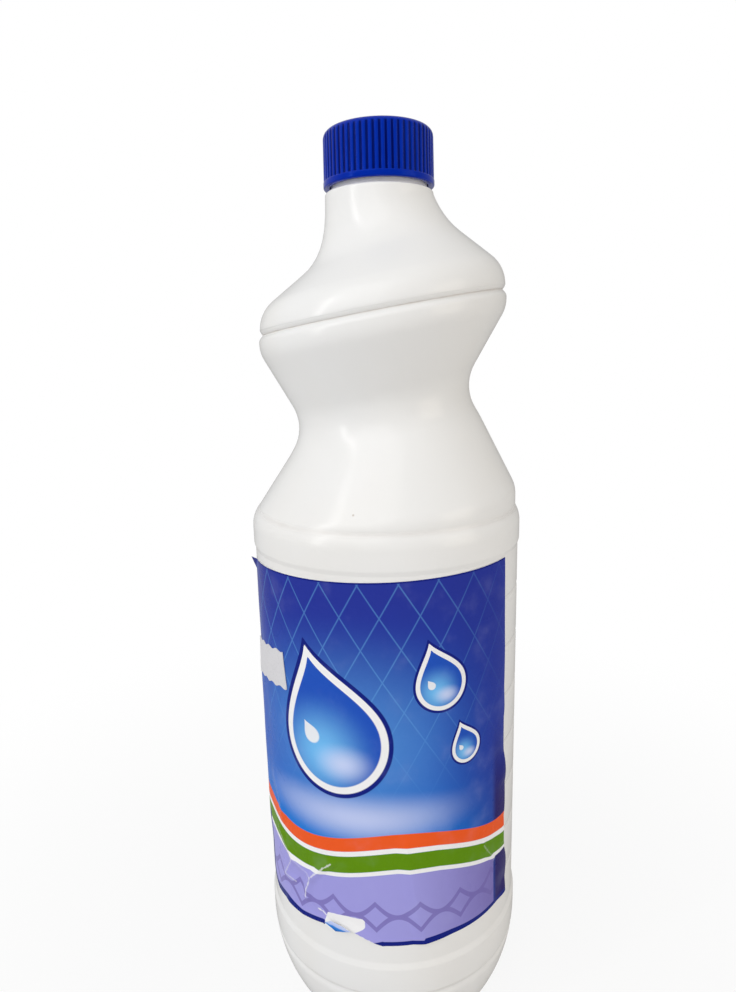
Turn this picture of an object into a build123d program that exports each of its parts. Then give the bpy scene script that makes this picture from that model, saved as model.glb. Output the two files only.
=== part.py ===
from build123d import *
import os
from math import asin, cos, degrees, hypot, pi, radians, sin

# One litre bleach bottle with a ribbed screw cap, in millimetres.
# The bottle stands on Z = 0 with its axis on Z, its label faces -Y, and its waist rises towards +X.

# Straight body
panel_radius = 41.0
band_radius = 41.7
collar_radius = 41.45
wall = 1.0
heel_radius = 51.0
heel_top = 30.4
foot_radius = 4.0
ring_inner = 23.0
push_up = 5.0
ledge_low = 34.9
ledge_high = 36.7
ledge_round = 2.0
panel_top = 156.6
collar_step = 1.4
collar_round = 2.0
collar_high = 163.2
collar_top = 170.0
crown_radius = 8.0

# Fine grooves round the straight body
rib_count = 7
rib_first = 50.8
rib_pitch = 15.44
rib_width = 2.4
rib_depth = 0.25
heel_crease = 24.7
crease_width = 2.6
crease_depth = 0.35

# Slanted waist and shoulder: corner radius and height of the mean profile, before it is tipped
flare_radius = 40.1
flare_corner = 170.5
flare_round = 6.0
waist_corner_radius = 24.0
waist_height = 198.2
waist_round = 13.0
lip_radius = 36.6
lip_low = 220.5
lip_low_round = 9.0
lip_high = 224.1
lip_high_round = 2.0
groove_radius = 35.4
groove_height = 225.5
shoulder_radius = 36.2
shoulder_step = 0.8
shoulder_corner = 231.8
shoulder_round = 10.4
neck_root_radius = 15.65
neck_corner = 248.1
neck_round = 20.0
shoulder_top = 258.9
shoulder_edge = 0.7

# How far the +X side of each ring stands above its middle
slant_rise = 5.75
slant_rise_at_collar = 3.0
slant_full_from = 189.0
slant_full_to = 241.0
waist_rings = 18
shoulder_rings = 14

# Threaded neck, drawn plain
bore_radius = 10.9
finish_radius = 12.6
neck_bead_radius = 13.8
neck_bead_height = 2.6
neck_chamfer = 0.8

# Screw cap
cap_gap = 1.3
cap_height = 15.2
cap_radius = 15.85
cap_draft = 0.15
cap_edge = 2.2
cap_plate = 1.6
cap_clearance = 0.35
cap_band = 1.7
cap_band_proud = 0.12
cap_band_round = 0.4
cap_rib_count = 57
cap_groove_width = 0.72
cap_groove_depth = 0.42

# Sealing wad in the cap
liner_thickness = 1.0
liner_radius = 13.6
seat_gap = 0.05

# Front label: a stuck sheet, turned a little as it was stuck on
film = 0.15
glue_line = 0.03
label_bearing = -99.1
label_height_middle = 99.2
label_turn = 1.57
label_left = -47.5
label_right = 47.6
label_top = 55.8
label_bottom = -56.2
label_corner = 6.0
corner_lift = 0.9
edge_steps = 6
# Worn right edge: height on the label and how far the edge moves out there
worn_edge = [(28.0, 0.0), (0.0, -0.7), (-24.0, 0.5), (-34.5, -1.4), (-46.0, 1.7)]
# Torn and folded stretch of the bottom edge: distance from the label's middle, height above the edge
torn_edge = [(1.6, 0.0), (-8.2, 3.3), (-12.9, 2.0), (-17.1, 3.5), (-25.5, 2.2), (-33.0, 2.1)]

# Price sticker with wavy cut edges
sticker_width = 20.0
sticker_height = 11.4
sticker_turn = 6.5
sticker_along = -36.9
sticker_up = 24.3
sticker_waves = 4
sticker_wave = 0.35

# Sizes worked out from the ones above
slant_end = shoulder_top - shoulder_edge
cap_bottom = shoulder_top + cap_gap
cap_top = cap_bottom + cap_height
cap_bore = neck_bead_radius + cap_clearance
plate_underside = cap_top - cap_plate
liner_top = plate_underside - seat_gap
liner_bottom = liner_top - liner_thickness
neck_land = liner_bottom - seat_gap
label_inner = panel_radius + glue_line
sticker_inner = label_inner + film + glue_line


def spin(face):
    """Turn a half section, drawn with X as radius and Y as height, about the bottle's axis."""
    return revolve(Plane.XZ * face, Axis.Z)


def ring_groove(radius, height, width, depth):
    """Ring with a round section that cuts a shallow groove of this width and depth."""
    section = (width * width / 4 + depth * depth) / (2 * depth)
    return spin(Pos(radius + section - depth, height) * Circle(section))


def straight_body(inset):
    """Foot, heel, label panel and collar as one solid, with every wall moved in by inset."""
    heel_middle = band_radius - heel_radius
    drop = heel_top - inset
    heel_turn = degrees(asin(drop / (heel_radius - inset)))
    heel = CenterArc((heel_middle, heel_top), heel_radius - inset, -heel_turn, heel_turn)
    side = FilletPolyline(
        (band_radius - inset, heel_top),
        (band_radius - inset, ledge_low),
        (panel_radius - inset, ledge_high),
        (panel_radius - inset, panel_top),
        (collar_radius - inset, panel_top + collar_step),
        (collar_radius - inset, collar_high),
        radius=[ledge_round, ledge_round, collar_round / 2, collar_round],
    )
    crown_turn = degrees(asin((collar_top - collar_high) / crown_radius))
    crown = CenterArc((collar_radius - crown_radius, collar_high), crown_radius - inset, 0, crown_turn)
    closing = Polyline(crown @ 1, (0, (crown @ 1).Y), (0, inset), heel @ 0)
    section = make_face(heel + side + crown + closing)
    foot = section.vertices().sort_by(Axis.Y)[0:2].sort_by(Axis.X)[-1]
    section = fillet(foot, foot_radius)
    dome = (ring_inner * ring_inner + push_up * push_up) / (2 * push_up)
    return spin(section) - Pos(0, 0, push_up - dome) * Sphere(dome + inset)


def rise_at(height):
    """Height of a ring's +X side above its middle: full at the waist, less at the collar, none at the neck."""
    if height < slant_full_from:
        share = max(0.0, (height - flare_corner) / (slant_full_from - flare_corner))
        return slant_rise_at_collar + (slant_rise - slant_rise_at_collar) * share
    if height > slant_full_to:
        share = (height - slant_full_to) / (slant_end - slant_full_to)
        return slant_rise * (1 - share ** 3)
    return slant_rise


def slanted_skin(path, count, inset_at):
    """Loft of tipped rings along a mean profile, each ring drawn in by inset_at its height."""
    rings = []
    for step in range(count + 1):
        point = path @ (step / count)
        radius = point.X - inset_at(point.Y)
        rise = rise_at(point.Y)
        tipped = Plane(origin=(0, 0, point.Y), x_dir=(radius, 0, rise), z_dir=(-rise, 0, radius))
        rings.append(tipped * Ellipse(hypot(radius, rise), radius))
    return loft(rings)


def waist_path():
    """Mean profile from inside the collar, in through the waist and out to the slanted groove."""
    return FilletPolyline(
        (flare_radius, collar_high),
        (flare_radius, flare_corner),
        (waist_corner_radius, waist_height),
        (lip_radius, lip_low),
        (lip_radius, lip_high),
        (groove_radius, groove_height),
        radius=[flare_round, waist_round, lip_low_round, lip_high_round],
    )


def shoulder_path():
    """Mean profile from the slanted groove over the shoulder to the neck."""
    return FilletPolyline(
        (groove_radius, groove_height),
        (shoulder_radius, groove_height + shoulder_step),
        (shoulder_radius, shoulder_corner),
        (neck_root_radius, neck_corner),
        (neck_root_radius, slant_end),
        radius=[shoulder_step / 2, shoulder_round, neck_round],
    )


def neck_wall(height):
    """Wall of the shoulder, which thickens towards the neck as blown bottles do."""
    share = (height - groove_height) / (slant_end - groove_height)
    return wall + (neck_root_radius - bore_radius - wall) * max(0.0, share) ** 4


def neck_solid():
    """Bevelled shoulder edge, plain bead and the cylinder that carries the thread."""
    bead_top = shoulder_top + neck_bead_height
    outline = Polyline(
        (neck_root_radius, slant_end),
        (neck_root_radius - shoulder_edge, shoulder_top),
        (neck_bead_radius, shoulder_top),
        (neck_bead_radius, bead_top),
        (finish_radius, bead_top + neck_chamfer),
        (finish_radius, neck_land - neck_chamfer),
        (finish_radius - neck_chamfer, neck_land),
        (0, neck_land),
        (0, slant_end),
        close=True,
    )
    return spin(make_face(outline))


def bottle():
    """Blown bottle: the outer form less its hollow."""
    outer = straight_body(0)
    grooves = [ring_groove(band_radius, heel_crease, crease_width, crease_depth)]
    for step in range(rib_count):
        grooves.append(ring_groove(panel_radius, rib_first + step * rib_pitch, rib_width, rib_depth))
    outer -= grooves
    outer += slanted_skin(waist_path(), waist_rings, lambda height: 0)
    outer += slanted_skin(shoulder_path(), shoulder_rings, lambda height: 0)
    outer += neck_solid()
    hollow = straight_body(wall)
    hollow += slanted_skin(waist_path(), waist_rings, lambda height: wall)
    hollow += slanted_skin(shoulder_path(), shoulder_rings, neck_wall)
    hollow += Pos(0, 0, slant_end) * extrude(Circle(bore_radius), neck_land - slant_end)
    return outer - hollow


def cap():
    """Screw cap with a plain band at its rim and straight grip grooves up its side."""
    band_top = cap_bottom + cap_band
    band_outer = cap_radius + cap_band_proud
    top_radius = cap_radius - cap_draft
    edge = RadiusArc((top_radius, cap_top - cap_edge), (top_radius - cap_edge, cap_top), -cap_edge)
    outline = Polyline(
        (top_radius - cap_edge, cap_top),
        (0, cap_top),
        (0, plate_underside),
        (cap_bore, plate_underside),
        (cap_bore, cap_bottom),
        (band_outer - cap_band_round, cap_bottom),
        (band_outer, cap_bottom + cap_band_round),
        (band_outer, band_top - cap_band_proud),
        (cap_radius, band_top),
        (top_radius, cap_top - cap_edge),
    )
    body = spin(make_face(edge + outline))
    groove = Box(2 * cap_groove_depth, cap_groove_width, cap_height)
    groove = Pos(0, 0, band_top + cap_height / 2) * groove
    places = PolarLocations(cap_radius, cap_rib_count)
    return body - [place * groove for place in places]


def cap_liner():
    """Soft sealing wad between the cap's top plate and the neck's land."""
    return Pos(0, 0, liner_bottom) * extrude(Circle(liner_radius), liner_thickness)


def sheet(inner, bearing, height, face):
    """Thin sheet round the panel with the outline of a face that is drawn as seen along its bearing."""
    turn = radians(bearing)
    facing = Plane(origin=(0, 0, height), x_dir=(-sin(turn), cos(turn), 0), z_dir=(cos(turn), sin(turn), 0))
    reach = 2 * panel_radius
    tube = extrude(Circle(inner + film) - Circle(inner), 2 * reach)
    tube = Pos(0, 0, height - reach) * tube
    return tube & extrude(facing * face, reach)


def seen(along, up, turn, radius):
    """Point of a flat sheet, turned in its plane, bent round this radius and seen along its bearing."""
    around = along * cos(radians(turn)) - up * sin(radians(turn))
    level = along * sin(radians(turn)) + up * cos(radians(turn))
    return (radius * sin(around / radius), level)


def label_point(along, up):
    """Point of the flat label as seen along its bearing."""
    return seen(along, up, label_turn, label_inner + film)


def label():
    """Worn label: straight top and left edges, a wavy right edge and a torn stretch at the bottom."""
    span = label_right - label_left
    top = Spline([label_point(label_left + span * k / edge_steps, label_top) for k in range(edge_steps + 1)])
    side_points = [(label_right, label_top)]
    side_points += [(label_right + out, up) for up, out in worn_edge]
    side_points += [(label_right, label_bottom)]
    side = Spline([label_point(along, up) for along, up in side_points])
    whole = label_right - torn_edge[0][0]
    low_points = [(label_right - whole * k / edge_steps, label_bottom) for k in range(edge_steps + 1)]
    low = Spline([label_point(along, up) for along, up in low_points])
    turns = [pi / 2 * k / edge_steps for k in range(edge_steps + 1)]
    corner_low = label_bottom + corner_lift
    corner_points = [
        (label_left + label_corner * (1 - sin(turn)), corner_low + label_corner * (1 - cos(turn)))
        for turn in turns
    ]
    corner = Spline([label_point(along, up) for along, up in corner_points])
    torn_points = [(along, label_bottom + up) for along, up in torn_edge]
    torn = Polyline([label_point(along, up) for along, up in torn_points + corner_points[:1]])
    left = Line(corner @ 1, top @ 0)
    face = make_face(top + side + low + torn + corner + left)
    return sheet(label_inner, label_bearing, label_height_middle, face)


def price_sticker():
    """Small sticker near the label's left edge, with wavy cut edges at its top and bottom."""
    steps = 4 * sticker_waves
    along = [sticker_width * (k / steps - 0.5) for k in range(steps + 1)]
    ripple = [sticker_wave * sin(k * pi / 2) for k in range(steps + 1)]
    radius = sticker_inner + film
    rows = []
    for edge in (sticker_height / 2, -sticker_height / 2):
        rows.append([seen(a, edge + r, sticker_turn, radius) for a, r in zip(along, ripple)])
    top = Spline(rows[0])
    bottom = Spline(rows[1])
    face = make_face(top + bottom + Line(rows[0][0], rows[1][0]) + Line(rows[0][-1], rows[1][-1]))
    bearing = label_bearing + degrees(sticker_along / radius)
    return sheet(sticker_inner, bearing, label_height_middle + sticker_up, face)


os.makedirs("parts", exist_ok=True)
export_step(bottle(), "parts/bottle.step")
export_step(cap(), "parts/screw_cap.step")
export_step(cap_liner(), "parts/cap_liner.step")
export_step(label(), "parts/front_label.step")
export_step(price_sticker(), "parts/price_sticker.step")
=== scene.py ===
from bisect import bisect_right
from math import asin, atan2, ceil, cos, pi, radians, sin, sqrt, tan

import bpy
from bpy.props import FloatProperty, FloatVectorProperty, IntProperty, PointerProperty
from mathutils import Matrix, Vector


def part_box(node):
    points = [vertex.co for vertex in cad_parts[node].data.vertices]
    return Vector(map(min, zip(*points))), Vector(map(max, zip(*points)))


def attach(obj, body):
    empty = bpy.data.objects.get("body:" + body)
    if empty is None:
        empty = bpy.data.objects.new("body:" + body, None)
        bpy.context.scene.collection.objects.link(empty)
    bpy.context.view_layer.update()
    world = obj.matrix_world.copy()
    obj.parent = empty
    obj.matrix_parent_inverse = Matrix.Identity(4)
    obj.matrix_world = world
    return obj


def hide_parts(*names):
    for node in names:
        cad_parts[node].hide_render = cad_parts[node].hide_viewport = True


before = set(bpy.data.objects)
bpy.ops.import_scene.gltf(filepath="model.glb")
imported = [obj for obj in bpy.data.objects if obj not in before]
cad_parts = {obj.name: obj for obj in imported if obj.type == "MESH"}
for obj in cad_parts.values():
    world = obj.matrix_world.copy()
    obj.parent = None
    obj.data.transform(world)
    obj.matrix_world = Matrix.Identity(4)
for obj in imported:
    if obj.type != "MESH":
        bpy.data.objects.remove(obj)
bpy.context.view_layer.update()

bl_info = {
    "name": "Bleach Bottle",
    "version": (1, 0, 0),
    "blender": (4, 5, 0),
    "location": "View3D > Sidebar > Bottle",
    "description": "Dresses a blown bleach bottle with its ribbed cap, worn label and price sticker",
    "category": "Object",
}

# Profiles are drawn in millimetres, with X as radius and Y as height, and meshes are made in metres.
MM = 0.001
# Points nearer than this are one: in a profile in millimetres, and in a finished mesh in metres
TINY = 1e-6
WELD = 2e-6
# Longer than any stretch of a profile
ANY_LENGTH = 1000.0
# Turn of an arc from one point to the next
TURN_STEP = radians(7)
NECK_TURN_STEP = radians(20)
CAP_TURN_STEP = radians(24)
# Angles from which an edge stays sharp, in degrees
BOTTLE_SHARP = 38
THREAD_SHARP = 40
CAP_SHARP = 32
FILM_SHARP = 50

# Foot, heel, label panel and collar of the bottle
HEEL_RADIUS = 51.0
HEEL_TOP = 30.4
FOOT_RADIUS = 4.0
RING_INNER = 23.0
PUSH_UP = 5.0
LEDGE_LOW = 34.9
LEDGE_HIGH = 36.7
LEDGE_ROUND = 2.0
PANEL_TOP = 156.6
COLLAR_STEP = 1.4
COLLAR_ROUND = 2.0
COLLAR_HIGH = 163.2
CROWN_RADIUS = 8.0
HEEL_CREASE = 24.7
CREASE_WIDTH = 2.6
CREASE_DEPTH = 0.35

# Mean profile of the slanted waist and shoulder
FLARE_RADIUS = 40.1
FLARE_CORNER = 170.5
FLARE_ROUND = 6.0
FLARE_END = 179.0
WAIST_RADIUS = 24.0
WAIST_HEIGHT = 198.2
WAIST_ROUND = 13.0
LIP_RADIUS = 36.6
LIP_LOW = 220.5
LIP_LOW_ROUND = 9.0
LIP_HIGH = 224.1
LIP_HIGH_ROUND = 2.0
GROOVE_RADIUS = 35.4
GROOVE_HEIGHT = 225.5
SHOULDER_RADIUS = 36.2
SHOULDER_STEP = 0.8
SHOULDER_ROLL = 2.4
SHOULDER_CORNER = 231.8
SHOULDER_ROUND = 10.4
NECK_ROOT_RADIUS = 15.65
NECK_CORNER = 248.1
NECK_ROUND = 20.0
SHOULDER_TOP = 258.9
SHOULDER_EDGE = 0.7
SLANT_END = SHOULDER_TOP - SHOULDER_EDGE
SLANT_RISE_AT_COLLAR = 3.0
SLANT_FULL_FROM = 189.0
SLANT_FULL_TO = 241.0
# Angle of the slanted ring's highest point round the axis, in degrees
SLANT_BEARING = 8.0

# Grey speck low on the front of the flare
SPECK = (-8.5, -37.3, 172.5)
SPECK_SIZE = 0.45
SPECK_CORE = 0.3 * SPECK_SIZE
SPECK_TONE = 0.5

# Soil and painted shade in the bottle's creases: how dark each is, and the height and width of its line
HEEL_SOIL_AND_SHADE = 0.45
HEEL_SOIL_AND_SHADE_HEIGHT = HEEL_CREASE + 0.36 * CREASE_WIDTH
HEEL_SOIL_AND_SHADE_WIDTH = 0.5 * CREASE_WIDTH
COLLAR_SOIL_AND_SHADE = 0.12
COLLAR_SOIL_AND_SHADE_HEIGHT = PANEL_TOP - 0.1
COLLAR_SOIL_AND_SHADE_WIDTH = 1.0
DIP_SOIL_AND_SHADE = 0.36
DIP_SOIL_AND_SHADE_WIDTH = 1.3
GROOVE_SOIL_AND_SHADE = 0.42
GROOVE_SOIL_AND_SHADE_WIDTH = 1.2
# Soil and painted shade above the collar, and the rows of the mesh over which it fades to each side
CROWN_SOIL_AND_SHADE = 0.28
CROWN_SOIL_AND_SHADE_ROWS = 3

# How far the edge of the light is moved on the bottle, so that its facets don't show there
LIGHT_EDGE_RAYS = 0.5
LIGHT_EDGE_SHADING = 0.06

# Neck and its thread
BORE_RADIUS = 10.9
FINISH_RADIUS = 12.6
NECK_BEAD_RADIUS = 13.8
NECK_BEAD_HEIGHT = 2.6
NECK_CHAMFER = 0.8
NECK_EDGE = 0.25
NECK_THREAD_START = 264.0
NECK_THREAD_TURNS = 1.5
NECK_THREAD_RIDGE = 1.05
THREAD_LEAD = 4.233
THREAD_STEPS = 64
THREAD_SIDES = 12
# Share of the thread's length over which each end thins out, and the share of the ridge that is left there
THREAD_RUN_OUT = 0.08
THREAD_THINNEST = 0.08

# Screw cap
CAP_EDGE = 2.2
CAP_PLATE = 1.6
CAP_BORE = 14.15
CAP_BAND = 1.7
CAP_BAND_PROUD = 0.12
CAP_BAND_ROUND = 0.4
CAP_BAND_SOFT = 0.03
CAP_BAND_EDGE = 0.25
CAP_RIM_START = 0.4
CAP_RIM_ROUND = 0.3
CAP_BORE_ROUND = 0.5
CAP_DRAFT = 0.15
CAP_EDGE_STEPS = 9
CAP_GROOVE_END = 0.16
CAP_GROOVE_CLEAR = 0.1
CAP_THREAD_RIDGE = 0.85
CAP_THREAD_TURNS = 1.25
# Part of a turn by which the cap's thread starts after the neck's, and part of the lead it lies lower
CAP_THREAD_LAG = 0.25
CAP_THREAD_DROP = 0.5
# Rings on the top plate, and rings down the ribbed wall as shares of its height
CAP_PLATE_RINGS = (0.0, 5.0, 10.0)
CAP_WALL_RINGS = (0.7, 0.35, 0.0)
# Half a rib as shares of the pitch and of half a groove, each with its share of the groove's depth
RIB_CROWN = ((-0.5, 0.0), (-0.40, 0.02), (-0.31, 0.10))
RIB_FLANK = ((-1.15, 0.28), (-0.9, 0.58), (-0.7, 0.88))

# Label: a film stuck round the panel, turned a little as it was stuck on
FILM = 0.15
GLUE_LINE = 0.03
LABEL_BEARING = -99.1
LABEL_MIDDLE = 99.2
LABEL_TURN = 1.57
LABEL_LEFT = -47.5
LABEL_RIGHT = 47.6
LABEL_TOP = 55.8
LABEL_BOTTOM = -56.2
LABEL_CORNER = 6.0
LABEL_CORNER_STEPS = 10
LABEL_OUTLINE_STEPS = 8
CORNER_LIFT = 0.9
# Side of the square that the print is drawn in
PRINT_SIDE = 120.0
# Right edge: where the film starts to follow it, then height on the label and how far the edge moves out
WORN_FROM = 30.0
WORN_EDGE = [
    (LABEL_BOTTOM, 0.0),
    (-46.0, 1.7),
    (-34.5, -1.4),
    (-24.0, 0.5),
    (0.0, -0.7),
    (28.0, 0.0),
    (LABEL_TOP, 0.0),
]
# Torn bottom edge: distance from the label's middle and height above the bottom
TORN_EDGE = [
    (LABEL_LEFT + LABEL_CORNER, CORNER_LIFT),
    (-33.0, 2.1),
    (-25.5, 2.2),
    (-17.1, 3.5),
    (-12.9, 2.6),
    (-8.2, 4.4),
    (1.6, 0.0),
    (LABEL_RIGHT, 0.0),
]
# Ridges where the film is creased: points along each one, its height, its half width, and its lost print with
# painted highlight
CREASES = [
    ([(-13.0, -31.1), (-15.5, -33.2), (-20.6, -38.3), (-23.0, -43.8), (-23.4, -46.5)], 0.75, 2.0, 1.0),
    ([(-36.0, -31.0), (-29.0, -36.5), (-20.6, -38.3)], 0.55, 2.6, 0.3),
    ([(-29.0, -36.5), (-34.3, -44.7), (-27.9, -43.7)], 0.45, 2.2, 0.6),
    ([(35.4, -31.6), (37.7, -35.4), (40.3, -38.9)], 0.50, 1.6, 0.3),
    ([(-18.8, -48.6), (-17.0, -48.8), (-15.9, -49.5)], 0.15, 0.9, 1.3),
    ([(-38.0, -14.0), (-34.0, -20.0), (-34.5, -25.0)], 0.35, 3.2, 0.0),
]
# Bend from which the film falls away to both sides: height on the label and distance from its middle
FILM_BEND = [(LABEL_BOTTOM, 14.0), (-31.3, 10.6), (-16.0, 9.6)]
BEND_HEIGHT = 0.75
BEND_LEFT = 3.4
BEND_RIGHT = 9.0
BEND_TOP = -17.0
BEND_FADE = 9.0
# Loose left side of the film: its height off the panel, its width, and where it starts, ends and fades
LEFT_LIFT = 0.40
LEFT_WIDTH = 7.0
LEFT_LOW = -42.0
LEFT_HIGH = 30.0
LEFT_FADE = 12.0
# Waves of the right edge
RUFFLE_LIFT = 0.55
RUFFLE_WIDTH = 6.0
RUFFLE_LOW = -40.0
RUFFLE_LENGTH = 23.0
RUFFLE_HIGH = 18.0
RUFFLE_FADE = 20.0
# Film that has come loose along the tear
TEAR_LIFT = 0.45
TEAR_LEFT = -36.0
TEAR_RIGHT = 3.0
TEAR_FADE = 4.0
TEAR_HEIGHT = 3.5
# Print that has rubbed off along the tear
WEAR_LEFT = -19.0
WEAR_RIGHT = 1.0
WEAR_FADE = 2.0
WEAR_HEIGHT = 0.6
# Faint ripple of the whole film: its height, and two waves in radians for a millimetre along and up
RIPPLE_HEIGHT = 0.05
RIPPLE_FIRST = (0.23, 0.11)
RIPPLE_SECOND = (-0.06, 0.17)
# Patch at the tear where the print has come away, and the bit of film that is folded over it
BARE_PATCH = [
    (-16.3, -51.2),
    (-15.3, -48.3),
    (-9.3, -47.6),
    (-4.0, -47.7),
    (-3.4, -48.3),
    (-3.4, -50.7),
    (-4.0, -51.2),
    (-7.6, -53.0),
    (-16.5, -54.0),
]
FOLDED_BIT = [(-16.0, -51.4), (-13.9, -50.2), (-9.8, -50.7), (-7.3, -51.6), (-12.3, -53.0), (-13.9, -52.2)]
# Folded bit: rings of its mesh and share of the innermost, height off the film, rise, and print with a
# painted highlight at the fold
FOLD_RINGS = 4
FOLD_CORE = 0.02
FOLD_LIFT = 0.55
FOLD_RISE = 0.25
FOLD_LOW = -54.0
FOLD_HEIGHT = 4.0
FOLD_SLOPE = 0.09
FOLD_HIGHLIGHT = (-52.7, -52.1)
FOLD_DEEP = (-52.5, -54.0)
# Lifted top corner: its reach along the label and down from the top, its height and its curve
CORNER_FOLD = (3.4, 3.8)
CORNER_RISE = 1.42
CORNER_CURVE = 0.9

# Print of the label, from the label's middle: fades as first and last place, glows as place and reach; the
# darkening towards the right is painted shade
INK_EDGE = 0.15
MIDDLE_FADE = (-34.0, 4.0)
TOP_FADE = (2.0, 54.0)
RIGHT_SHADE = (14.0, 45.0)
SKY_GLOW = (-6.0, 8.0, 50.0, 40.0)
PALE_GLOW = (-4.0, -14.5, 44.0, 10.0)
LATTICE_PITCH = 11.0
LATTICE_SLOPE = 0.6
LATTICE_LINE = 0.11
LATTICE_FADE = (-20.0, 40.0)
# Drops: place and size of each, outlines as width and share of the size, the rest as shares of the size
DROPS = (((-10.0, 9.0), 14.5), ((22.0, 25.0), 6.4), ((29.5, 4.0), 4.0))
DROP_TILT = 0.26
DROP_TIP = 1.75
DROP_END = 0.96 * DROP_TIP
DROP_CLOSING = 30.0
DROP_CURVE = 1.35
DROP_NARROWEST = 0.03
DROP_OUTLINES = ((0.9, 0.17, "navy"), (0.6, 0.10, "white"))
DROP_LIT = (-0.25, -0.30, 1.25, 1.35)
DROP_CORE = (0.20, -0.48, 0.75, 0.50)
DROP_SHINE = (-0.46, 0.02, 0.19)
DROP_SHINE_TILT = 0.3
# Waves: radians for a millimetre, start and height of the two that add up, then each band's low and high side
SWELL = (0.082, 0.6, 3.4)
LONG_SWELL = (0.031, 2.0)
WAVES = (
    (-26.2, -21.8, "orange"),
    (-27.8, -26.2, "white"),
    (-33.2, -27.8, "green"),
    (-34.6, -33.2, "white"),
)
WAVE_EDGE = 0.12
# Lilac field: its top, where it ends before the right edge, its painted shade towards the right, and its row
# of diamonds
FIELD_TOP = -34.6
FIELD_RIGHT = 40.4
FIELD_SHADE = (4.0, 52.0)
DUSK_FADE = (12.0, -26.0)
DIAMOND_PITCH = 13.0
DIAMOND_HEIGHT = 9.0
DIAMOND_LEVEL = -46.5
DIAMOND_OUTER = 0.60
DIAMOND_INNER = 0.40
DIAMOND_EDGE = 0.03
# Border: its width, where it is wider, and the stretch of the bottom edge that has lost it
BORDER_WIDTH = 1.4
BORDER_WIDER = 0.8
BORDER_WIDER_FADE = (-24.0, -36.0)
BORDER_BENT = 0.6
BORDER_BENT_END = 36.0
BORDER_TOP_FADE = (-28.5, -31.0)
BORDER_LOST = (-16.3, -1.6)
BORDER_TAPER = 3.2
TOP_LINE = (0.55, 0.40)

# Price sticker
STICKER_WIDTH = 20.0
STICKER_HEIGHT = 11.4
STICKER_TURN = 6.5
STICKER_ALONG = -36.9
STICKER_UP = 24.3
STICKER_WAVES = 4
STICKER_WAVE = 0.35
STICKER_WAVE_STEPS = 8
STICKER_ROWS = 16
# Curl of the sticker's ends: height and length
LEFT_CURL = (0.25, 3.0)
RIGHT_CURL = (0.1, 2.0)

# Stage in metres: the floor, where its shade fades to white, and how much of the shade shows
FLOOR_HALF = 3.0
FLOOR_LEVEL = -0.0002
SHADOW_RING = (0.05, 0.32)
SHADOW_KEPT = 0.12
# Side on which the room is brighter
ROOM_SIDE = (-0.65, -0.45, 0.6)
# Share of the white that glossy rays see
GLOSSY_WHITE = 0.2
# Lights: place, width and height, colour and share in the gloss
LIGHT_TARGET = (0.0, 0.0, 0.15)
KEY_LIGHT = ((-0.85, -0.55, 0.55), (0.07, 0.9), (1.0, 0.99, 0.97), 1.6)
TOP_LIGHT = ((-0.32, -0.62, 0.78), (0.8, 0.8), (1.0, 1.0, 1.0), 1.0)
FILL_LIGHT = ((0.8, -0.45, 0.3), (0.5, 0.7), (1.0, 0.90, 0.76), 1.0)

# Camera of the photograph, with its picture's size in pixels
PICTURE_HEIGHT = 992
FOCAL_PIXELS = 689.4
SENSOR = 36.0
CAMERA_PLACE = (0.0, -0.2128, 0.2140)
CAMERA_PITCH = 11.72
CAMERA_YAW = -1.46
CAMERA_ROLL = -1.47
CAMERA_NEAR = 0.01


def colour_prop(name, description, default):
    """Colour property with a default of linear red, green and blue."""
    return FloatVectorProperty(
        name=name, description=description, default=default, subtype="COLOR", size=3, min=0.0, max=1.0
    )


def length_prop(name, description, default):
    """Length property with a default in millimetres."""
    return FloatProperty(
        name=name, description=description, default=default * MM, unit="LENGTH", precision=5
    )


def number_prop(name, description, default, unit="NONE"):
    """Plain number, or a number with a unit of its own."""
    return FloatProperty(name=name, description=description, default=default, unit=unit)


class BottleLook(bpy.types.PropertyGroup):
    """Sizes and colours of the blown bottle."""

    columns: IntProperty(name="Columns", description="Faces round the bottle", default=168, min=48)
    panel_radius: length_prop("Panel radius", "Radius of the panel that carries the label", 41.0)
    band_radius: length_prop("Heel radius", "Radius of the widest band, above the heel", 41.7)
    collar_radius: length_prop("Collar radius", "Radius of the collar above the label", 41.45)
    wall: length_prop("Wall", "Thickness of the blown wall", 1.0)
    slant: length_prop("Slant", "How far the slanted ring stands above its middle on one side", 5.75)
    rib_first: length_prop("First dip", "Height of the lowest dip round the panel", 50.8)
    rib_pitch: length_prop("Dip pitch", "Height from one dip to the next", 15.44)
    rib_count: IntProperty(name="Dips", description="Dips round the panel", default=7, min=0)
    rib_width: length_prop("Dip width", "Height of one dip", 2.4)
    rib_depth: length_prop("Dip depth", "Depth of one dip", 0.25)
    plastic: colour_prop("Plastic", "Milky white of the blown plastic", (0.85, 0.85, 0.845))
    warm: colour_prop("Tone", "Warmer white in the uneven plastic", (0.83, 0.82, 0.80))
    # Colour of the grey speck, and of the soil and painted shade laid into the creases
    soil: colour_prop("Soil", "Dirt that sits in the creases", (0.36, 0.26, 0.18))


class CapLook(bpy.types.PropertyGroup):
    """Sizes and colours of the screw cap and its wad."""

    ribs: IntProperty(name="Ribs", description="Grip ribs round the cap", default=57, min=8)
    groove_width: length_prop("Groove width", "Width of the groove between two ribs", 0.72)
    groove_depth: length_prop("Groove depth", "Depth of the groove between two ribs", 0.42)
    plastic: colour_prop("Plastic", "Royal blue of the moulded cap", (0.0008, 0.020, 0.335))
    # Painted shade: the darker blue laid into the grooves between the ribs
    groove_shade: colour_prop("Deep blue", "Darker blue in the grooves", (0.0002, 0.002, 0.080))
    gloss: colour_prop("Gloss", "Tint of the cap's gloss", (0.05, 0.2, 1.0))
    foam: colour_prop("Foam", "White of the sealing wad", (0.78, 0.77, 0.74))


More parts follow.
